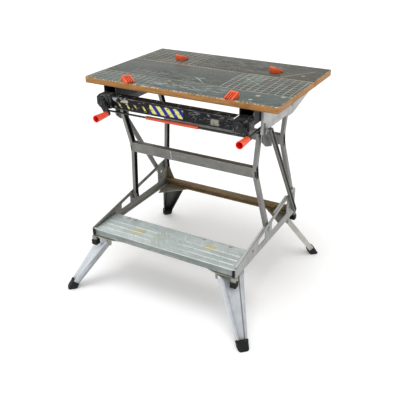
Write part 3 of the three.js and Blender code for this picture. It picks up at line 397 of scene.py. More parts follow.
def plate_lobe(f):
    """The lower lobe of a side plate, coloured a darker grey."""
    return f.within(f.y, -0.084, -0.016, 0.003) * (1 - f.rise(f.z, 0.652, 0.66))


def upper_edge(f):
    """The turned upper edge of an arm, where shade is painted, and on the right arm a highlight."""
    return nearer(0.2964)(f) * f.rise(f.z, 0.224, 0.228)


def on_right(mask):
    """The right-hand half of a mask."""
    return lambda f: mask(f) * f.rise(f.x, -0.001, 0.001)


def crossbar_scratch(f):
    """A thin bright scratch across the front crossbar."""
    return f.area((-0.082, -0.08), (0.492, 0.524), 0.0004, "xz") * (1 - f.rise(f.y, 0.0, 0.05))


def waist_slit_shade(f):
    """A near-black slit of painted shade at the waist of the front frame's legs."""
    aside = f.x.math("ABSOLUTE", f.x)
    in_front = 1 - f.rise(f.y, 0.0, 0.05)
    return f.within(aside, 0.2568, 0.2636, 0.0008) * f.within(f.z, 0.491, 0.515, 0.0012) * in_front


def arm_inside_shade(f):
    """The inner face of an arm, behind its turned edges, where shade is painted."""
    return nearer(0.2974)(f) * beyond(0.2966)(f)


def bright_edge(name, tone, bared_and_highlight, metallic=0.4, bright_from=0.36):
    """Edges lighter by rubbed-through wear and by painted highlight, more in some places than in others."""
    f = Finish(name)
    rubbed = f.rise(f.noise(38.0, 5.0, 0.65), bright_from, bright_from + 0.24)
    nicks = f.rise(f.noise(240.0, 3.0, 0.6), 0.56, 0.66)
    # Lighter where rubbed: worn-through metal and a painted highlight along the edges
    colour = f.mix(rubbed, linear(*tone), linear(*bared_and_highlight))
    colour = f.mix(nicks * 0.35, colour, linear(90, 86, 78))
    rough = 0.46 - rubbed * 0.12 + nicks * 0.1
    return f.finish(colour, rough, metallic, nicks, 0.0002)


def zinc_finish(name, light, dark):
    """Bright zinc on folded sheet: soft bloom, faint spangle and brush marks, with painted shade on sideways
    faces.
    """
    f = Finish(name)
    flow = f.noise((46.0, 46.0, 10.0), 4.0, 0.55, 0.2)
    bloom = f.noise(9.0, 5.0, 0.62)
    spangle = f.cells(95.0, output="Color")
    tone = f.node("ShaderNodeSeparateColor", values={0: spangle}, output=0)
    pits = f.noise(320.0, 3.0, 0.6)
    normal = f.node("ShaderNodeTexCoord", output="Normal")
    sideways = f.node("ShaderNodeSeparateXYZ", values={0: normal}, output=0)
    upward = f.node("ShaderNodeSeparateXYZ", values={0: normal}, output=2)
    # Painted shade: faces turned sideways are coloured darker, and inner sides darker still
    turned_away_shade = f.rise(sideways, 0.2, 0.75)
    inner_side_shade = f.rise(sideways, 0.58, 0.64) * (1 - f.rise(upward, 0.2, 0.4))
    # The light tone stands for lit faces, the dark tone for faces in painted shade, mixed with brush flow
    colour = f.mix(turned_away_shade * 0.75 + f.rise(flow, 0.3, 0.7) * 0.25, light, dark)
    colour = f.mix(inner_side_shade * 0.8, colour, linear(132, 137, 141))
    colour = f.mix(tone * 0.12, colour, linear(232, 237, 241))
    colour = f.mix(f.rise(bloom, 0.52, 0.78) * 0.2, colour, linear(168, 173, 174))
    low = 1 - f.rise(f.z, 0.02, 0.07)
    colour = f.mix(low * f.rise(pits, 0.4, 0.6) * 0.35, colour, linear(128, 126, 118))
    high = f.rise(f.z, 0.14, 0.21)
    colour = f.mix(high * f.rise(bloom, 0.4, 0.6) * 0.4, colour, linear(140, 134, 122))
    rough = 0.36 + (bloom - 0.5) * 0.2 + tone * 0.06
    return f.finish(colour, rough, 0.5, flow * 0.4 + pits * 0.4, 0.0002)


def shaded_leg_finish():
    """A leg coloured near-black as painted shade, blacker towards its boot."""
    f = Finish("leg_painted_shade")
    cloud = f.noise(18.0, 6.0, 0.65)
    grit = f.noise(220.0, 4.0, 0.6)
    # Painted shade: near-black at the boot, dark olive higher up
    colour = f.mix(f.rise(f.z, 0.05, 0.17), linear(9, 9, 8), linear(48, 50, 42))
    colour = f.mix(f.rise(cloud, 0.45, 0.7) * 0.4, colour, linear(44, 44, 36))
    rubbed = f.rise(grit, 0.6, 0.7) * f.rise(cloud, 0.4, 0.6)
    colour = f.mix(rubbed * 0.4, colour, linear(128, 128, 116))
    rough = 0.55 + (cloud - 0.5) * 0.3
    return f.finish(colour, rough, 0.15, grit * 0.6 + cloud * 0.4, 0.0004)


def step_finish():
    """Galvanised tread: spangle, broken white scuffs along the ribs, and two yellow worn patches; lip and
    holes in painted shade.
    """
    f = Finish("step_galvanised")
    spangle = f.cells(60.0, output="Color")
    tone = f.node("ShaderNodeSeparateColor", values={0: spangle}, output=0)
    cloud = f.noise(8.0, 5.0, 0.62)
    broken = f.rise(f.noise((30.0, 60.0, 60.0), 5.0, 0.7, 0.8), 0.42, 0.6)
    scuff = f.rise(f.noise((16.0, 170.0, 60.0), 5.0, 0.68, 0.8), 0.54, 0.68)
    rubs = f.scratches(52, (20.0, 150.0, 20.0), 0.6) | f.scratches(-20, (16.0, 190.0, 20.0), 0.62)
    pits = f.noise(340.0, 3.0, 0.6)
    top = f.rise(f.z, 0.2438, 0.2452)
    crest = f.rise(f.z, 0.2476, 0.2486)
    colour = f.mix(tone * 0.6, linear(190, 203, 201), linear(212, 221, 219))
    colour = f.mix(f.rise(cloud, 0.44, 0.7) * 0.5, colour, linear(172, 184, 180))
    middle = f.area((-0.07, 0.07), (-0.27, -0.14), 0.03)
    front = 1 - f.rise(f.y, -0.262, -0.236)
    colour = f.mix(rubs * top * (0.2 + middle * 0.45), colour, linear(232, 238, 238))
    colour = f.mix(scuff * top * (0.2 + front * 0.6), colour, linear(240, 244, 242))
    colour = f.mix(crest * broken * (1 - middle * 0.6) * 0.8, colour, linear(246, 249, 247))
    shade = f.rise(f.noise((22.0, 70.0, 50.0), 4.0, 0.65), 0.52, 0.7) * (1 - crest)
    colour = f.mix(shade * top * 0.4, colour, linear(138, 148, 142))
    patches = f.area((-0.162, -0.112), (-0.23, -0.2), 0.009) | f.area((0.131, 0.176), (-0.2, -0.17), 0.009)
    worn = f.rise(f.noise((50.0, 70.0, 60.0), 4.0, 0.6), 0.3, 0.5)
    colour = f.mix(patches * (0.3 + worn * 0.45), colour, linear(206, 196, 118))
    trace = f.area((-0.057, -0.021), (-0.236, -0.205), 0.012) * worn
    colour = f.mix(trace * 0.35, colour, linear(196, 200, 146))
    # Painted shade: dark spots where the tread has holes
    hole_shade = f.spot(-0.225, -0.146, 0.0085) | f.spot(-0.194, -0.146, 0.0085)
    hole_shade = hole_shade | f.spot(0.109, -0.146, 0.0085) | f.spot(0.215, -0.146, 0.0085)
    colour = f.mix(hole_shade * 0.9, colour, linear(44, 46, 44))
    # Painted shade: the front lip is coloured darker than the tread
    lip = f.mix(f.rise(cloud, 0.4, 0.65), linear(142, 150, 149), linear(122, 130, 128))
    lip_low = 1 - f.rise(f.z, 0.226, 0.234)
    lip = f.mix(lip_low * broken * 0.5, lip, linear(196, 190, 178))
    colour = f.mix(top, lip, colour)
    rough = 0.42 + (cloud - 0.5) * 0.3 + scuff * 0.12
    return f.finish(colour, rough, 0.35, pits * 0.5 + tone * 0.25 + scuff * 0.3, 0.0004)


def stretcher_finish():
    """Rear stretcher under brown dirt and rust, darker under its upper edge."""
    f = Finish("stretcher_dirty")
    cloud = f.noise(10.0, 6.0, 0.65)
    grit = f.noise(140.0, 5.0, 0.65)
    run = f.noise((14.0, 45.0, 60.0), 5.0, 0.6)
    olive = linear(170, 152, 116)
    colour = f.mix(f.rise(cloud, 0.35, 0.65), olive, linear(142, 120, 88))
    upper = f.rise(f.z, 0.232, 0.24)
    colour = f.mix(upper * 0.4, colour, linear(112, 88, 56))
    colour = f.mix(f.rise(run, 0.5, 0.66) * 0.35, colour, linear(120, 74, 40))
    colour = f.mix(f.rise(grit, 0.54, 0.7) * 0.5, colour, linear(84, 70, 50))
    colour = f.mix(f.rise(grit, 0.66, 0.74) * 0.5, colour, linear(176, 168, 140))
    gusset = f.rise(f.z, 0.248, 0.262)
    colour = f.mix(gusset * 0.6, colour, linear(128, 120, 100))
    soiled = f.rise(f.x, 0.17, 0.24)
    moss = f.rise(f.noise(48.0, 5.0, 0.7), 0.46, 0.58)
    colour = f.mix(soiled * moss * 0.9, colour, linear(152, 140, 58))
    stains = f.rise(f.noise(75.0, 4.0, 0.7), 0.52, 0.6)
    colour = f.mix(soiled * stains * 0.85, colour, linear(44, 36, 22))
    rust = f.rise(f.x, 0.255, 0.285) * f.rise(cloud, 0.36, 0.54)
    colour = f.mix(rust * 0.6, colour, linear(134, 74, 38))
    rough = 0.72 + (grit - 0.5) * 0.3
    return f.finish(colour, rough, 0.1, grit * 0.7 + cloud * 0.3, 0.0008)


def front_beam_finish():
    """Blue-black paint with dust, pale chips and a band of worn slanting stripes."""
    f = Finish("front_beam_black")
    cloud = f.noise(16.0, 5.0, 0.62)
    dust = f.noise(130.0, 4.0, 0.65)
    streak = f.noise((20.0, 90.0, 240.0), 4.0, 0.6, 0.4)
    chips = f.rise(f.noise((85.0, 85.0, 120.0), 4.0, 0.65), 0.63, 0.67)
    colour = f.mix(f.rise(cloud, 0.45, 0.75) * 0.35, linear(9, 10, 18), linear(32, 34, 42))
    colour = f.mix(f.rise(dust, 0.6, 0.74) * 0.25, colour, linear(80, 80, 82))
    face = 1 - f.rise(f.y, -0.1885, -0.1865)

    def patch(x, z, soft=0.001):
        return f.area(x, z, soft, "xz")

    fray = f.rise(f.noise((120.0, 60.0, 150.0), 5.0, 0.75), 0.36, 0.48)
    worn = f.rise(f.noise((90.0, 60.0, 90.0), 5.0, 0.75), 0.44, 0.54)
    band = patch((-0.078, 0.052), (0.709, 0.738)) * fray
    slant = f.x + f.z * 0.8
    broad = f.lines(slant, 0.034, 0.014)
    thin = f.lines(slant, 0.034, 0.006) * patch((-0.217, -0.09), (0.71, 0.728)) * worn
    yellow = band * broad | thin
    blue = band * (1 - broad)
    marks = f.rise(f.noise((60.0, 60.0, 330.0), 3.0, 0.6), 0.54, 0.61)
    scuffed = patch((0.077, 0.15), (0.718, 0.742), 0.006) | patch((0.186, 0.232), (0.708, 0.74), 0.006)
    scuffs = marks * scuffed
    flakes = f.rise(f.noise((70.0, 60.0, 120.0), 3.0, 0.6), 0.48, 0.54)
    flakes = flakes * patch((-0.233, -0.163), (0.729, 0.741), 0.003)
    beige = patch((0.155, 0.183), (0.708, 0.728), 0.003) * fray
    colour = f.mix(blue * face, colour, linear(6, 42, 152))
    colour = f.mix(yellow * face, colour, linear(238, 230, 132))
    colour = f.mix(scuffs * face * 0.6, colour, linear(156, 156, 158))
    colour = f.mix(flakes * face * 0.8, colour, linear(210, 210, 208))
    colour = f.mix(beige * face * 0.8, colour, linear(168, 166, 148))
    colour = f.mix(chips * 0.75, colour, linear(190, 190, 190))
    rough = 0.42 + (cloud - 0.5) * 0.25 + f.rise(dust, 0.5, 0.7) * 0.2
    relief = streak * 0.4 + dust * 0.3 - chips * 0.4
    return f.finish(colour, rough, 0.0, relief, 0.0003, **{"Specular IOR Level": 0.22})


def black_finish(name, base, dust_and_sheen, roughness, grain, dust_and_sheen_share=0.4, scuffed=0.15):
    """Black moulding, rubber or paint with a fine grain, grey dust and painted sheen, rubbed spots, and
    scuffs partly painted highlight.
    """
    f = Finish(name)
    cloud = f.noise(24.0, 5.0, 0.62)
    skin = f.noise(grain, 3.0, 0.6)
    smudge = f.noise((60.0, 90.0, 60.0), 5.0, 0.68, 0.5)
    # Grey haze: dust and painted sheen
    colour = f.mix(f.rise(cloud, 0.4, 0.7) * dust_and_sheen_share, base, dust_and_sheen)
    rubbed = f.rise(smudge, 0.6, 0.72)
    colour = f.mix(rubbed * dust_and_sheen_share * 0.8, colour, linear(112, 112, 112))
    # Pale scuffs, partly a painted highlight
    scuff = f.rise(f.noise((110.0, 110.0, 44.0), 4.0, 0.7, 1.0), 0.56, 0.64)
    colour = f.mix(scuff * scuffed, colour, linear(132, 138, 138))
    rough = roughness + (cloud - 0.5) * 0.25 - rubbed * 0.1
    return f.finish(colour, rough, 0.0, skin * 0.8 + smudge * 0.2, 0.0004, **{"Specular IOR Level": 0.3})


def orange_finish(name, base, deep, ringed=0.0):
    """Orange plastic: faint mould flow, grubby patches, pale rubbed spots, and slanting rings if asked."""
    f = Finish(name)
    cloud = f.noise(30.0, 5.0, 0.6)
    flow = f.noise((50.0, 120.0, 50.0), 4.0, 0.6, 0.6)
    skin = f.noise(480.0, 2.0, 0.5)
    colour = f.mix(f.rise(flow, 0.4, 0.66) * 0.7, base, deep)
    rubbed = f.rise(f.noise(120.0, 4.0, 0.65), 0.62, 0.72)
    colour = f.mix(rubbed * 0.4, colour, linear(255, 158, 116))
    grime = f.rise(cloud, 0.55, 0.72)
    colour = f.mix(grime * 0.25, colour, linear(160, 58, 30))
    if ringed:
        rings = f.lines(f.x - f.z, 0.011, 0.0045) * (1 - f.rise(f.x, -0.02, 0.06) * 0.7)
        colour = f.mix(rings * ringed, colour, linear(176, 84, 56))
    rough = 0.42 + (cloud - 0.5) * 0.25 + grime * 0.15
    return f.finish(colour, rough, 0.0, skin * 0.5 + flow * 0.4, 0.0003)


# Side plates: darker on the inner faces and on the lower lobe
PLATE_PLACES = [((56, 56, 54), nearer(0.2912)), ((98, 101, 95), plate_lobe)]
# Arms: painted shade on the turned upper edges and inner faces, a painted highlight on the right arm's upper
# edge
ARM_PLACES = [
    ((84, 83, 75), upper_edge),
    ((212, 214, 210), on_right(upper_edge)),
    ((112, 111, 104), arm_inside_shade),
]
# Painted shade: a near-black slit on the front frame's legs
FRAME_PLACES = [((14, 14, 14), waist_slit_shade)]
CROSSBAR_PLACES = [((232, 234, 232), crossbar_scratch)]
LATCH_PLACES = [((96, 98, 93), beyond(0.2935))]
FINISHES = {
    "board": board_finish(),
    "frame": worn_steel("frame_grey", (138, 136, 132), places=FRAME_PLACES),
    "crossbar": worn_steel("crossbar_grey", (124, 124, 119), dirty=0.35, scuffed=0.4, places=CROSSBAR_PLACES),
    "plate": worn_steel("plate_grey", (182, 184, 183), 0.3, 0.46, dirty=0.2, places=PLATE_PLACES),
    "arm": worn_steel("arm_grey", (160, 162, 159), dirty=0.3, places=ARM_PLACES),
    "bracket": worn_steel("bracket_grey", (142, 141, 130), dirt=(112, 104, 62), dirty=0.5),
    "brace": worn_steel("brace_dark", (112, 111, 106), dirty=0.4),
    "rod": worn_steel("rod_dark", (46, 46, 47), 0.3, 0.42, scuffed=0.2, places=LATCH_PLACES),
    "leg": zinc_finish("leg_zinc", linear(216, 221, 226), linear(166, 171, 176)),
    "dull_leg": worn_steel("leg_dull", (194, 192, 184), 0.3, 0.48, dirty=0.25),
    "shaded_leg": shaded_leg_finish(),
    "pin": zinc_finish("pin_zinc", linear(186, 190, 192), linear(136, 140, 142)),
    "bolt": bright_edge("bolt_bright", (212, 216, 216), (246, 248, 247)),
    "step": step_finish(),
    "stretcher": stretcher_finish(),
    "front_beam": front_beam_finish(),
    "beam": black_finish("beam_black", linear(10, 11, 13), linear(44, 44, 46), 0.46, 200.0),
    "moulding": black_finish("moulding_black", linear(7, 8, 9), linear(54, 58, 60), 0.48, 340.0, 0.5, 0.6),
    "rubber": black_finish("rubber_black", linear(14, 14, 16), linear(40, 40, 40), 0.72, 260.0, 0.3),
    "peg": orange_finish("peg_orange", linear(252, 104, 50), linear(242, 80, 32)),
    "handle": orange_finish("handle_orange", linear(250, 94, 58), linear(238, 72, 40)),
    "grip": orange_finish("grip_orange", linear(240, 100, 66), linear(226, 82, 50), 0.7),
    # Painted shade: the orange plastic inside the handle's bore is coloured deep red
    "bore": orange_finish("handle_bore_shade_red", linear(246, 26, 26), linear(226, 14, 16)),
    "steel_edge": bright_edge("steel_edge", (150, 150, 144), (198, 198, 192)),
    "zinc_edge": bright_edge("zinc_edge", (206, 212, 214), (244, 247, 247)),
    "black_edge": bright_edge("black_edge", (18, 19, 21), (150, 152, 154), 0.0, 0.44),
    # Painted shade for the grooves of the pegs
    "peg_groove_shade": orange_finish("peg_groove_painted_shade", linear(168, 40, 12), linear(124, 26, 6)),
    # Painted shade for the sides of hollows: near-black, grey and pale grey
    "hollow": worn_steel("hollow_painted_shade", (20, 20, 19), dirty=0.15, scuffed=0.08),
    "hollow_grey": worn_steel("hollow_grey", (84, 83, 79), dirty=0.4, scuffed=0.2),
    "hollow_zinc": worn_steel("hollow_zinc", (128, 130, 130), dirty=0.3, scuffed=0.2),
}

# Mesh pieces


def body_of(node):
    return frame["nodes"][node]["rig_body"]


def piece(name, mesh_data, finishes, body, replaced=()):
    """A new piece that rides on a body, with one material slot for each finish."""
    made = bpy.data.objects.new(name, mesh_data)
    bpy.context.scene.collection.objects.link(made)
    for finish in finishes:
        mesh_data.materials.append(FINISHES[finish])
    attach(made, body)
    if replaced:
        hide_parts(*replaced)
    return made


def shaded(mesh_data, angle=35):
    mesh_data.shade_smooth()
    mesh_data.set_sharp_from_angle(angle=math.radians(angle))
    return mesh_data


def sheltered(shape):
    """Faces that look into the shape's own hollow, found by rays spread round each face's normal."""
    around = 12
    reach = 0.05
    needed = 7
    tree = BVHTree.FromBMesh(shape)
    found = []
    for face in shape.faces:
        start = face.calc_center_median() + face.normal * 1e-4
        side = face.normal.orthogonal().normalized()
        hits = 0
        for index in range(around):
            tilt = Quaternion(face.normal, 2 * math.pi * index / around) @ side
            for lift in (0.35, 1.0):
                struck = tree.ray_cast(start, (tilt + face.normal * lift).normalized(), reach)[0]
                hits += struck is not None
        if hits >= needed:
            found.append(face)
    return found


def lips(hollow):
    """The narrow faces round a hollow: the rounded edges and the sheet's own thickness."""
    steps = 3
    widest = 6e-4
    found = set(hollow)
    for _ in range(steps):
        beside = {face for inner in found for edge in inner.edges for face in edge.link_faces}
        found |= {face for face in beside if face.calc_area() < widest}
    return found - hollow


def softened(node, finish, width, edge_finish=None, hollow_shade_finish=None):
    """The node's own shape with rounded edges. Edges may have their own finish, and hollow sides a finish of
    painted shade.
    """
    shape = bmesh.new()
    shape.from_mesh(frame["nodes"][node].data)
    bmesh.ops.remove_doubles(shape, verts=shape.verts, dist=1e-6)
    flat = math.radians(1)
    sharp_from = math.radians(28)
    bmesh.ops.dissolve_limit(shape, angle_limit=flat, verts=shape.verts, edges=shape.edges)
    sharp = [e for e in shape.edges if len(e.link_faces) == 2 and e.calc_face_angle() > sharp_from]
    bmesh.ops.bevel(
        shape,
        geom=sharp,
        offset=width,
        segments=2,
        profile=0.5,
        affect="EDGES",
        clamp_overlap=True,
        material=1 if edge_finish else -1,
    )
    finishes = [name for name in (finish, edge_finish, hollow_shade_finish) if name]
    if hollow_shade_finish:
        shape.normal_update()
        # Faces inside the hollow, and for the frame legs the narrow faces round it, take the painted shade
        hollow = set(sheltered(shape))
        if finish == "frame":
            hollow |= lips(hollow)
        for face in hollow:
            face.material_index = finishes.index(hollow_shade_finish)
    mesh_data = bpy.data.meshes.new(f"{node}_soft")
    shape.to_mesh(mesh_data)
    shape.free()
    return piece(f"{node}_soft", shaded(mesh_data), finishes, body_of(node), [node])


def shade_peg_grooves(peg):
    """Gives the sides and floors of a peg's grooves a darker finish of painted shade."""
    least_drop = 0.0012
    side_wall = 0.002
    lowest = BOARD_TOP + 0.0008
    mesh_data = peg.data
    mesh_data.materials.append(FINISHES["peg_groove_shade"])
    sloped = [p for p in mesh_data.polygons if 0.88 < p.normal.z < 0.96 and p.area > 2e-5]
    slope = sum((p.normal * p.area for p in sloped), Vector()).normalized()
    across = slope.cross(Vector((0, 0, 1))).normalized()
    spread = [across.dot(v.co) for v in mesh_data.vertices]
    middle = (min(spread) + max(spread)) / 2
    half_width = (max(spread) - min(spread)) / 2
    crest = max(slope.dot(p.center) for p in sloped)
    for p in mesh_data.polygons:
        below = crest - slope.dot(p.center) > least_drop
        within_sides = abs(across.dot(p.center) - middle) < half_width - side_wall
        faces_groove = slope.dot(p.normal) > 0.95 or abs(across.dot(p.normal)) > 0.9
        if below and within_sides and faces_groove and p.center.z > lowest:
            p.material_index = 1


def turned(name, profile, place, axis, finishes, body, replaced=(), sides=32, inner_from=None):
    """A piece turned from (along, radius) points. Faces from point inner_from take the second finish."""
    shape = bmesh.new()
    turn = Vector((0, 0, 1)).rotation_difference(Vector(axis)).to_matrix().to_4x4()
    lie = Matrix.Translation(place) @ turn
    rings = []
    for along, radius in profile:
        if radius < 1e-7:
            rings.append([shape.verts.new(lie @ Vector((0, 0, along)))])
            continue
        angles = [2 * math.pi * i / sides for i in range(sides)]
        ring = [Vector((radius * math.cos(a), radius * math.sin(a), along)) for a in angles]
        rings.append([shape.verts.new(lie @ point) for point in ring])
    for index, (low, high) in enumerate(zip(rings, rings[1:])):
        for i in range(sides):
            below = [low[i % len(low)], low[(i + 1) % len(low)]]
            above = [high[(i + 1) % len(high)], high[i % len(high)]]
            face = shape.faces.new(list(dict.fromkeys(below + above)))
            face.material_index = int(inner_from is not None and index >= inner_from)
    bmesh.ops.recalc_face_normals(shape, faces=shape.faces)
    mesh_data = bpy.data.meshes.new(name)
    shape.to_mesh(mesh_data)
    shape.free()
    return piece(name, shaded(mesh_data, 40), finishes, body, replaced)


def rivet(name, place, axis, radius, height, finish, body):
    """A domed head with a rolled rim."""
    profile = [
        (-height * 0.2, 0),
        (-height * 0.2, radius),
        (height * 0.25, radius),
        (height * 0.5, radius * 0.9),
        (height * 0.8, radius * 0.62),
        (height * 0.95, radius * 0.3),
        (height, 0),
    ]
    return turned(name, profile, place, axis, [finish], body, sides=20)


# Rounded copies of the solids, by finish: nodes, width of the edges, their finish (wear and painted
# highlight), and the painted shade of hollow sides
ENDS = ("front", "rear")
SOFT_EDGES = {
    "board": (["front_board", "middle_board", "rear_board"], 0.0012, None, None),
    "front_beam": (["front_beam"], 0.0008, "black_edge", None),
    "beam": ([f"vise_beam_{s}" for s in SIDES], 0.0008, "black_edge", None),
    "moulding": (
        [f"{n}_{s}" for n in ("crank_housing", "crank_arm", "jaw_nut") for s in SIDES],
        0.0012,
        "black_edge",
        None,
    ),
    "plate": ([f"side_plate_{s}" for s in SIDES], 0.0006, "steel_edge", None),
    "frame": ([f"{e}_frame_leg_{s}" for e in ENDS for s in SIDES], 0.0008, "steel_edge", "hollow"),
    "crossbar": (["front_crossbar", "rear_crossbar"], 0.0008, "steel_edge", "hollow_grey"),
    "arm": ([f"base_arm_{s}" for s in SIDES], 0.0006, "steel_edge", None),
    "bracket": ([f"corner_bracket_{c}" for c in CORNERS], 0.0006, None, None),
    "brace": ([f"brace_{s}" for s in SIDES], 0.0006, "steel_edge", "hollow_grey"),
    "rod": (["release_rod"], 0.0005, None, None),
    "leg": (["flip_leg_front_right", "flip_leg_front_left"], 0.0008, "zinc_edge", "hollow_zinc"),
    "dull_leg": (["flip_leg_rear_right"], 0.0008, "zinc_edge", "hollow_zinc"),
    "shaded_leg": (["flip_leg_rear_left"], 0.0008, None, None),
    "pin": ([f"{e}_pivot_pin_{s}" for e in ENDS for s in SIDES], 0.0006, None, None),
    "step": (["step_tread"], 0.0006, "zinc_edge", None),
    "stretcher": (["rear_stretcher"], 0.0006, None, None),
    "rubber": (
        [f"low_foot_{c}" for c in CORNERS] + [f"step_corner_cap_{s}" for s in SIDES],
        0.0018,
        None,
        None,
    ),
    "peg": ([f"{e}_peg_{s}" for e in ENDS for s in SIDES], 0.0009, None, None),
}
for finish_name, (node_names, *rounding) in SOFT_EDGES.items():
    for node_name in node_names:
        made = softened(node_name, finish_name, *rounding)
        if finish_name == "peg":
            shade_peg_grooves(made)


def handle(side):
    """A crank handle: a hollow sleeve with a rolled lip."""
    name = f"crank_handle_{side}"
    low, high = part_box(name)
    middle = (low + high) / 2
    length = high.y - low.y
    outer = (high.x - low.x) / 2
    spindle = outer * 0.35
    depth = length * 0.78
    profile = [
        (length, spindle),
        (length, outer * 0.68),
        (length - 0.002, outer * 0.765),
        (length * 0.6, outer * 0.85),
        (length * 0.2, outer * 0.945),
        (0.006, outer * 0.965),
        (0.004, outer),
        (0.0012, outer),
        (0.0, outer * 0.96),
        (0.0, outer * 0.86),
        (0.001, outer * 0.815),
        (depth, outer * 0.585),
        (depth, spindle),
        (length, spindle),
    ]
    front = (middle.x, low.y, middle.z)
    finishes = ["handle", "bore"]
    mouth = 10
    turned(f"{name}_sleeve", profile, front, (0, 1, 0), finishes, body_of(name), [name], 40, mouth)


def screw(side):
    """A vise screw: a rod with a coarse thread."""
    name = f"vise_screw_{side}"
    low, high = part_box(name)
    length = high.y - low.y
    radius = (high.x - low.x) / 2
    root = radius * 0.8
    crest = radius * 0.99
    plain = 0.036
    thread_start = 0.038
    pitch = 0.008
    turns = int((length - 0.04) / pitch)
    profile = [(0, 0), (0, radius * 0.94), (0.001, radius), (plain, radius)]
    for index in range(turns):
        start = thread_start + index * pitch
        profile += [
            (start, root),
            (start + pitch * 0.35, root),
            (start + pitch * 0.5, crest),
            (start + pitch * 0.85, crest),
        ]
    profile += [(length - 0.001, radius * 0.9), (length, radius * 0.7), (length, 0)]
    place = ((low.x + high.x) / 2, low.y, (low.z + high.z) / 2)
    turned(f"{name}_thread", profile, place, (0, 1, 0), ["pin"], body_of(name), [name], 24)


def grip():
    """The release grip: a sleeve with soft ends and shallow finger rings."""
    name = "release_grip"
    low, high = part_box(name)
    radius = (high.z - low.z) / 2
    length = high.x - low.x
    bore = radius * 0.6
    end_radius = radius * 0.85
    end_round = 0.0015
    plain_end = 0.01
    rings = 12
    profile = [(0.0, bore), (0.0, end_radius), (end_round, radius)]
    for index in range(rings):
        start = plain_end + (length - 2 * plain_end) * index / rings
        profile += [(start, radius), (start + 0.001, radius * 0.95), (start + 0.002, radius)]
    profile += [(length - end_round, radius), (length, end_radius), (length, bore), (0.0, bore)]
    place = (low.x, (low.y + high.y) / 2, (low.z + high.z) / 2)
    turned(f"{name}_sleeve", profile, place, (1, 0, 0), ["grip"], body_of(name), [name])


def boot(corner):
    """A rubber boot: rounded, with a rolled rim round the leg."""
    name = f"leg_boot_{corner}"
    points = [v.co.copy() for v in frame["nodes"][name].data.vertices]
    points = [p for i, p in enumerate(points) if all((p - q).length > 1e-5 for q in points[:i])]
    points.sort(key=lambda p: p.z)

    def around(quad):
        centre = sum(quad, Vector()) / 4
        return sorted(quad, key=lambda p: math.atan2(p.y - centre.y, p.x - centre.x))

    base = around(points[:4])
    rim = around(points[4:])
    levels = [
        (0.0, 0.78),
        (0.02, 0.86),
        (0.1, 0.93),
        (0.35, 0.95),
        (0.66, 0.95),
        (0.72, 0.95),
        (0.76, 1.0),
        (0.95, 1.0),
        (1.0, 0.94),
    ]
    rounding = 0.3
    arc = 6
    shape = bmesh.new()
    rings = []
    for share, size in levels:
        quad = [a.lerp(b, share) for a, b in zip(base, rim)]
        centre = sum(quad, Vector()) / 4
        quad = [centre + (p - centre) * size for p in quad]
        ring = []
        for i, corner_point in enumerate(quad):
            before = corner_point.lerp(quad[i - 1], rounding)
            after = corner_point.lerp(quad[(i + 1) % 4], rounding)
            for step in range(arc + 1):
                t = step / arc
                ring.append(before * (1 - t) ** 2 + corner_point * 2 * t * (1 - t) + after * t * t)
        rings.append([shape.verts.new(p) for p in ring])
    for low, high in zip(rings, rings[1:]):
        for i in range(len(low)):
            shape.faces.new((low[i - 1], low[i], high[i], high[i - 1]))
    shape.faces.new(rings[0])
    shape.faces.new(rings[-1])
    bmesh.ops.recalc_face_normals(shape, faces=shape.faces)
    mesh_data = bpy.data.meshes.new(f"{name}_moulded")
    shape.to_mesh(mesh_data)
    shape.free()
    piece(f"{name}_moulded", shaded(mesh_data, 50), ["rubber"], body_of(name), [name])


# Rivets of the arms: y, z and finish. Heads and tails: radius and height
ARM_RIVETS = [(0.2015, 0.294, "bolt"), (0.2005, 0.268, "rod"), (-0.142, 0.252, "rod")]
ARM_OUTER = 0.300
ARM_INNER = 0.297
RIVET_HEAD = (0.0048, 0.0018)
RIVET_TAIL = (0.0055, 0.0013)


def arm_rivets(side, sign):
    """The rivets of one arm, with their heads outside and their tails inside."""
    arm = f"base_arm_{side}"
    outward = (sign, 0, 0)
    inward = (-sign, 0, 0)
    for index, (y, z, finish) in enumerate(ARM_RIVETS):
        head = (sign * ARM_OUTER, y, z)
        tail = (sign * ARM_INNER, y, z)
        rivet(f"{arm}_rivet_{index}", head, outward, *RIVET_HEAD, finish, body_of(arm))
        rivet(f"{arm}_tail_{index}", tail, inward, *RIVET_TAIL, finish, body_of(arm))


for side_name, sign in zip(SIDES, (1, -1)):
    arm_rivets(side_name, sign)
    handle(side_name)
    screw(side_name)
grip()
for corner_name in CORNERS:
    boot(corner_name)

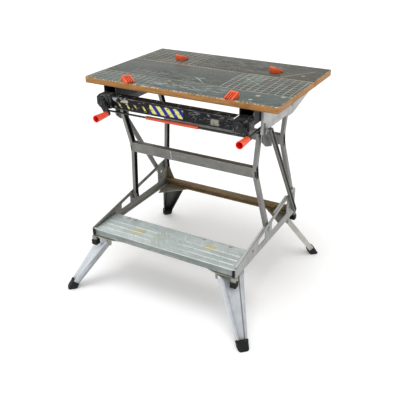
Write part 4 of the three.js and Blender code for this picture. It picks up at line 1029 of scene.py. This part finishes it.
# Camera, light and floor
azimuth = math.radians(CAMERA_AZIMUTH)
elevation = math.radians(CAMERA_ELEVATION)
roll = math.radians(CAMERA_ROLL)
camera = bpy.data.objects.new("camera", bpy.data.cameras.new("camera"))
bpy.context.scene.collection.objects.link(camera)
camera.data.lens = CAMERA_LENS
camera.data.sensor_width = CAMERA_SENSOR
camera.data.clip_end = 100
swing = Matrix.Rotation(azimuth, 4, "Z")
tilt_down = Matrix.Rotation(math.pi / 2 - elevation, 4, "X")
lean = Matrix.Rotation(roll, 4, "Z")
camera.matrix_world = Matrix.Translation(CAMERA_PLACE) @ swing @ tilt_down @ lean
bpy.context.scene.camera = camera

key = bpy.data.objects.new("key_light", bpy.data.lights.new("key_light", "SUN"))
bpy.context.scene.collection.objects.link(key)
key.data.energy = KEY_STRENGTH
key.data.angle = math.radians(KEY_ANGLE)
key.matrix_world = Vector(KEY_FROM).to_track_quat("Z", "Y").to_matrix().to_4x4()

world = bpy.data.worlds.new("studio")
bpy.context.scene.world = world
world.use_nodes = True
sky = Tree(world.node_tree)
seen = sky.node("ShaderNodeLightPath", output="Is Camera Ray")
for ray in ("Is Glossy Ray", "Is Transmission Ray"):
    seen = seen | sky.node("ShaderNodeLightPath", output=ray)
dome = sky.node("ShaderNodeBackground", values={"Color": (1, 1, 1, 1), "Strength": DOME})
white = sky.node("ShaderNodeBackground", values={"Color": (1, 1, 1, 1), "Strength": 1.0})
both = sky.node("ShaderNodeMixShader", values={0: seen, 1: dome, 2: white})
sky_out = sky.nodes.new("ShaderNodeOutputWorld")
sky.links.new(both.socket, sky_out.inputs[0])

floor_mesh = bpy.data.meshes.new("floor")
half = FLOOR_SIZE / 2
floor_corners = [(-half, -half, 0), (half, -half, 0), (half, half, 0), (-half, half, 0)]
floor_mesh.from_pydata(floor_corners, [], [(0, 1, 2, 3)])
floor = bpy.data.objects.new("floor", floor_mesh)
bpy.context.scene.collection.objects.link(floor)
paper = Finish("floor_paper")
shade_of_paper = paper.mix(paper.noise(3.0, 2.0) * 0.05, linear(*FLOOR_COLOUR), linear(250, 250, 250))
paper_look = {"Specular IOR Level": 0.0, "Emission Color": (1, 1, 1, 1), "Emission Strength": FLOOR_GLOW}
floor_mesh.materials.append(paper.finish(shade_of_paper, 1.0, **paper_look))

bpy.context.scene.view_settings.view_transform = "Standard"
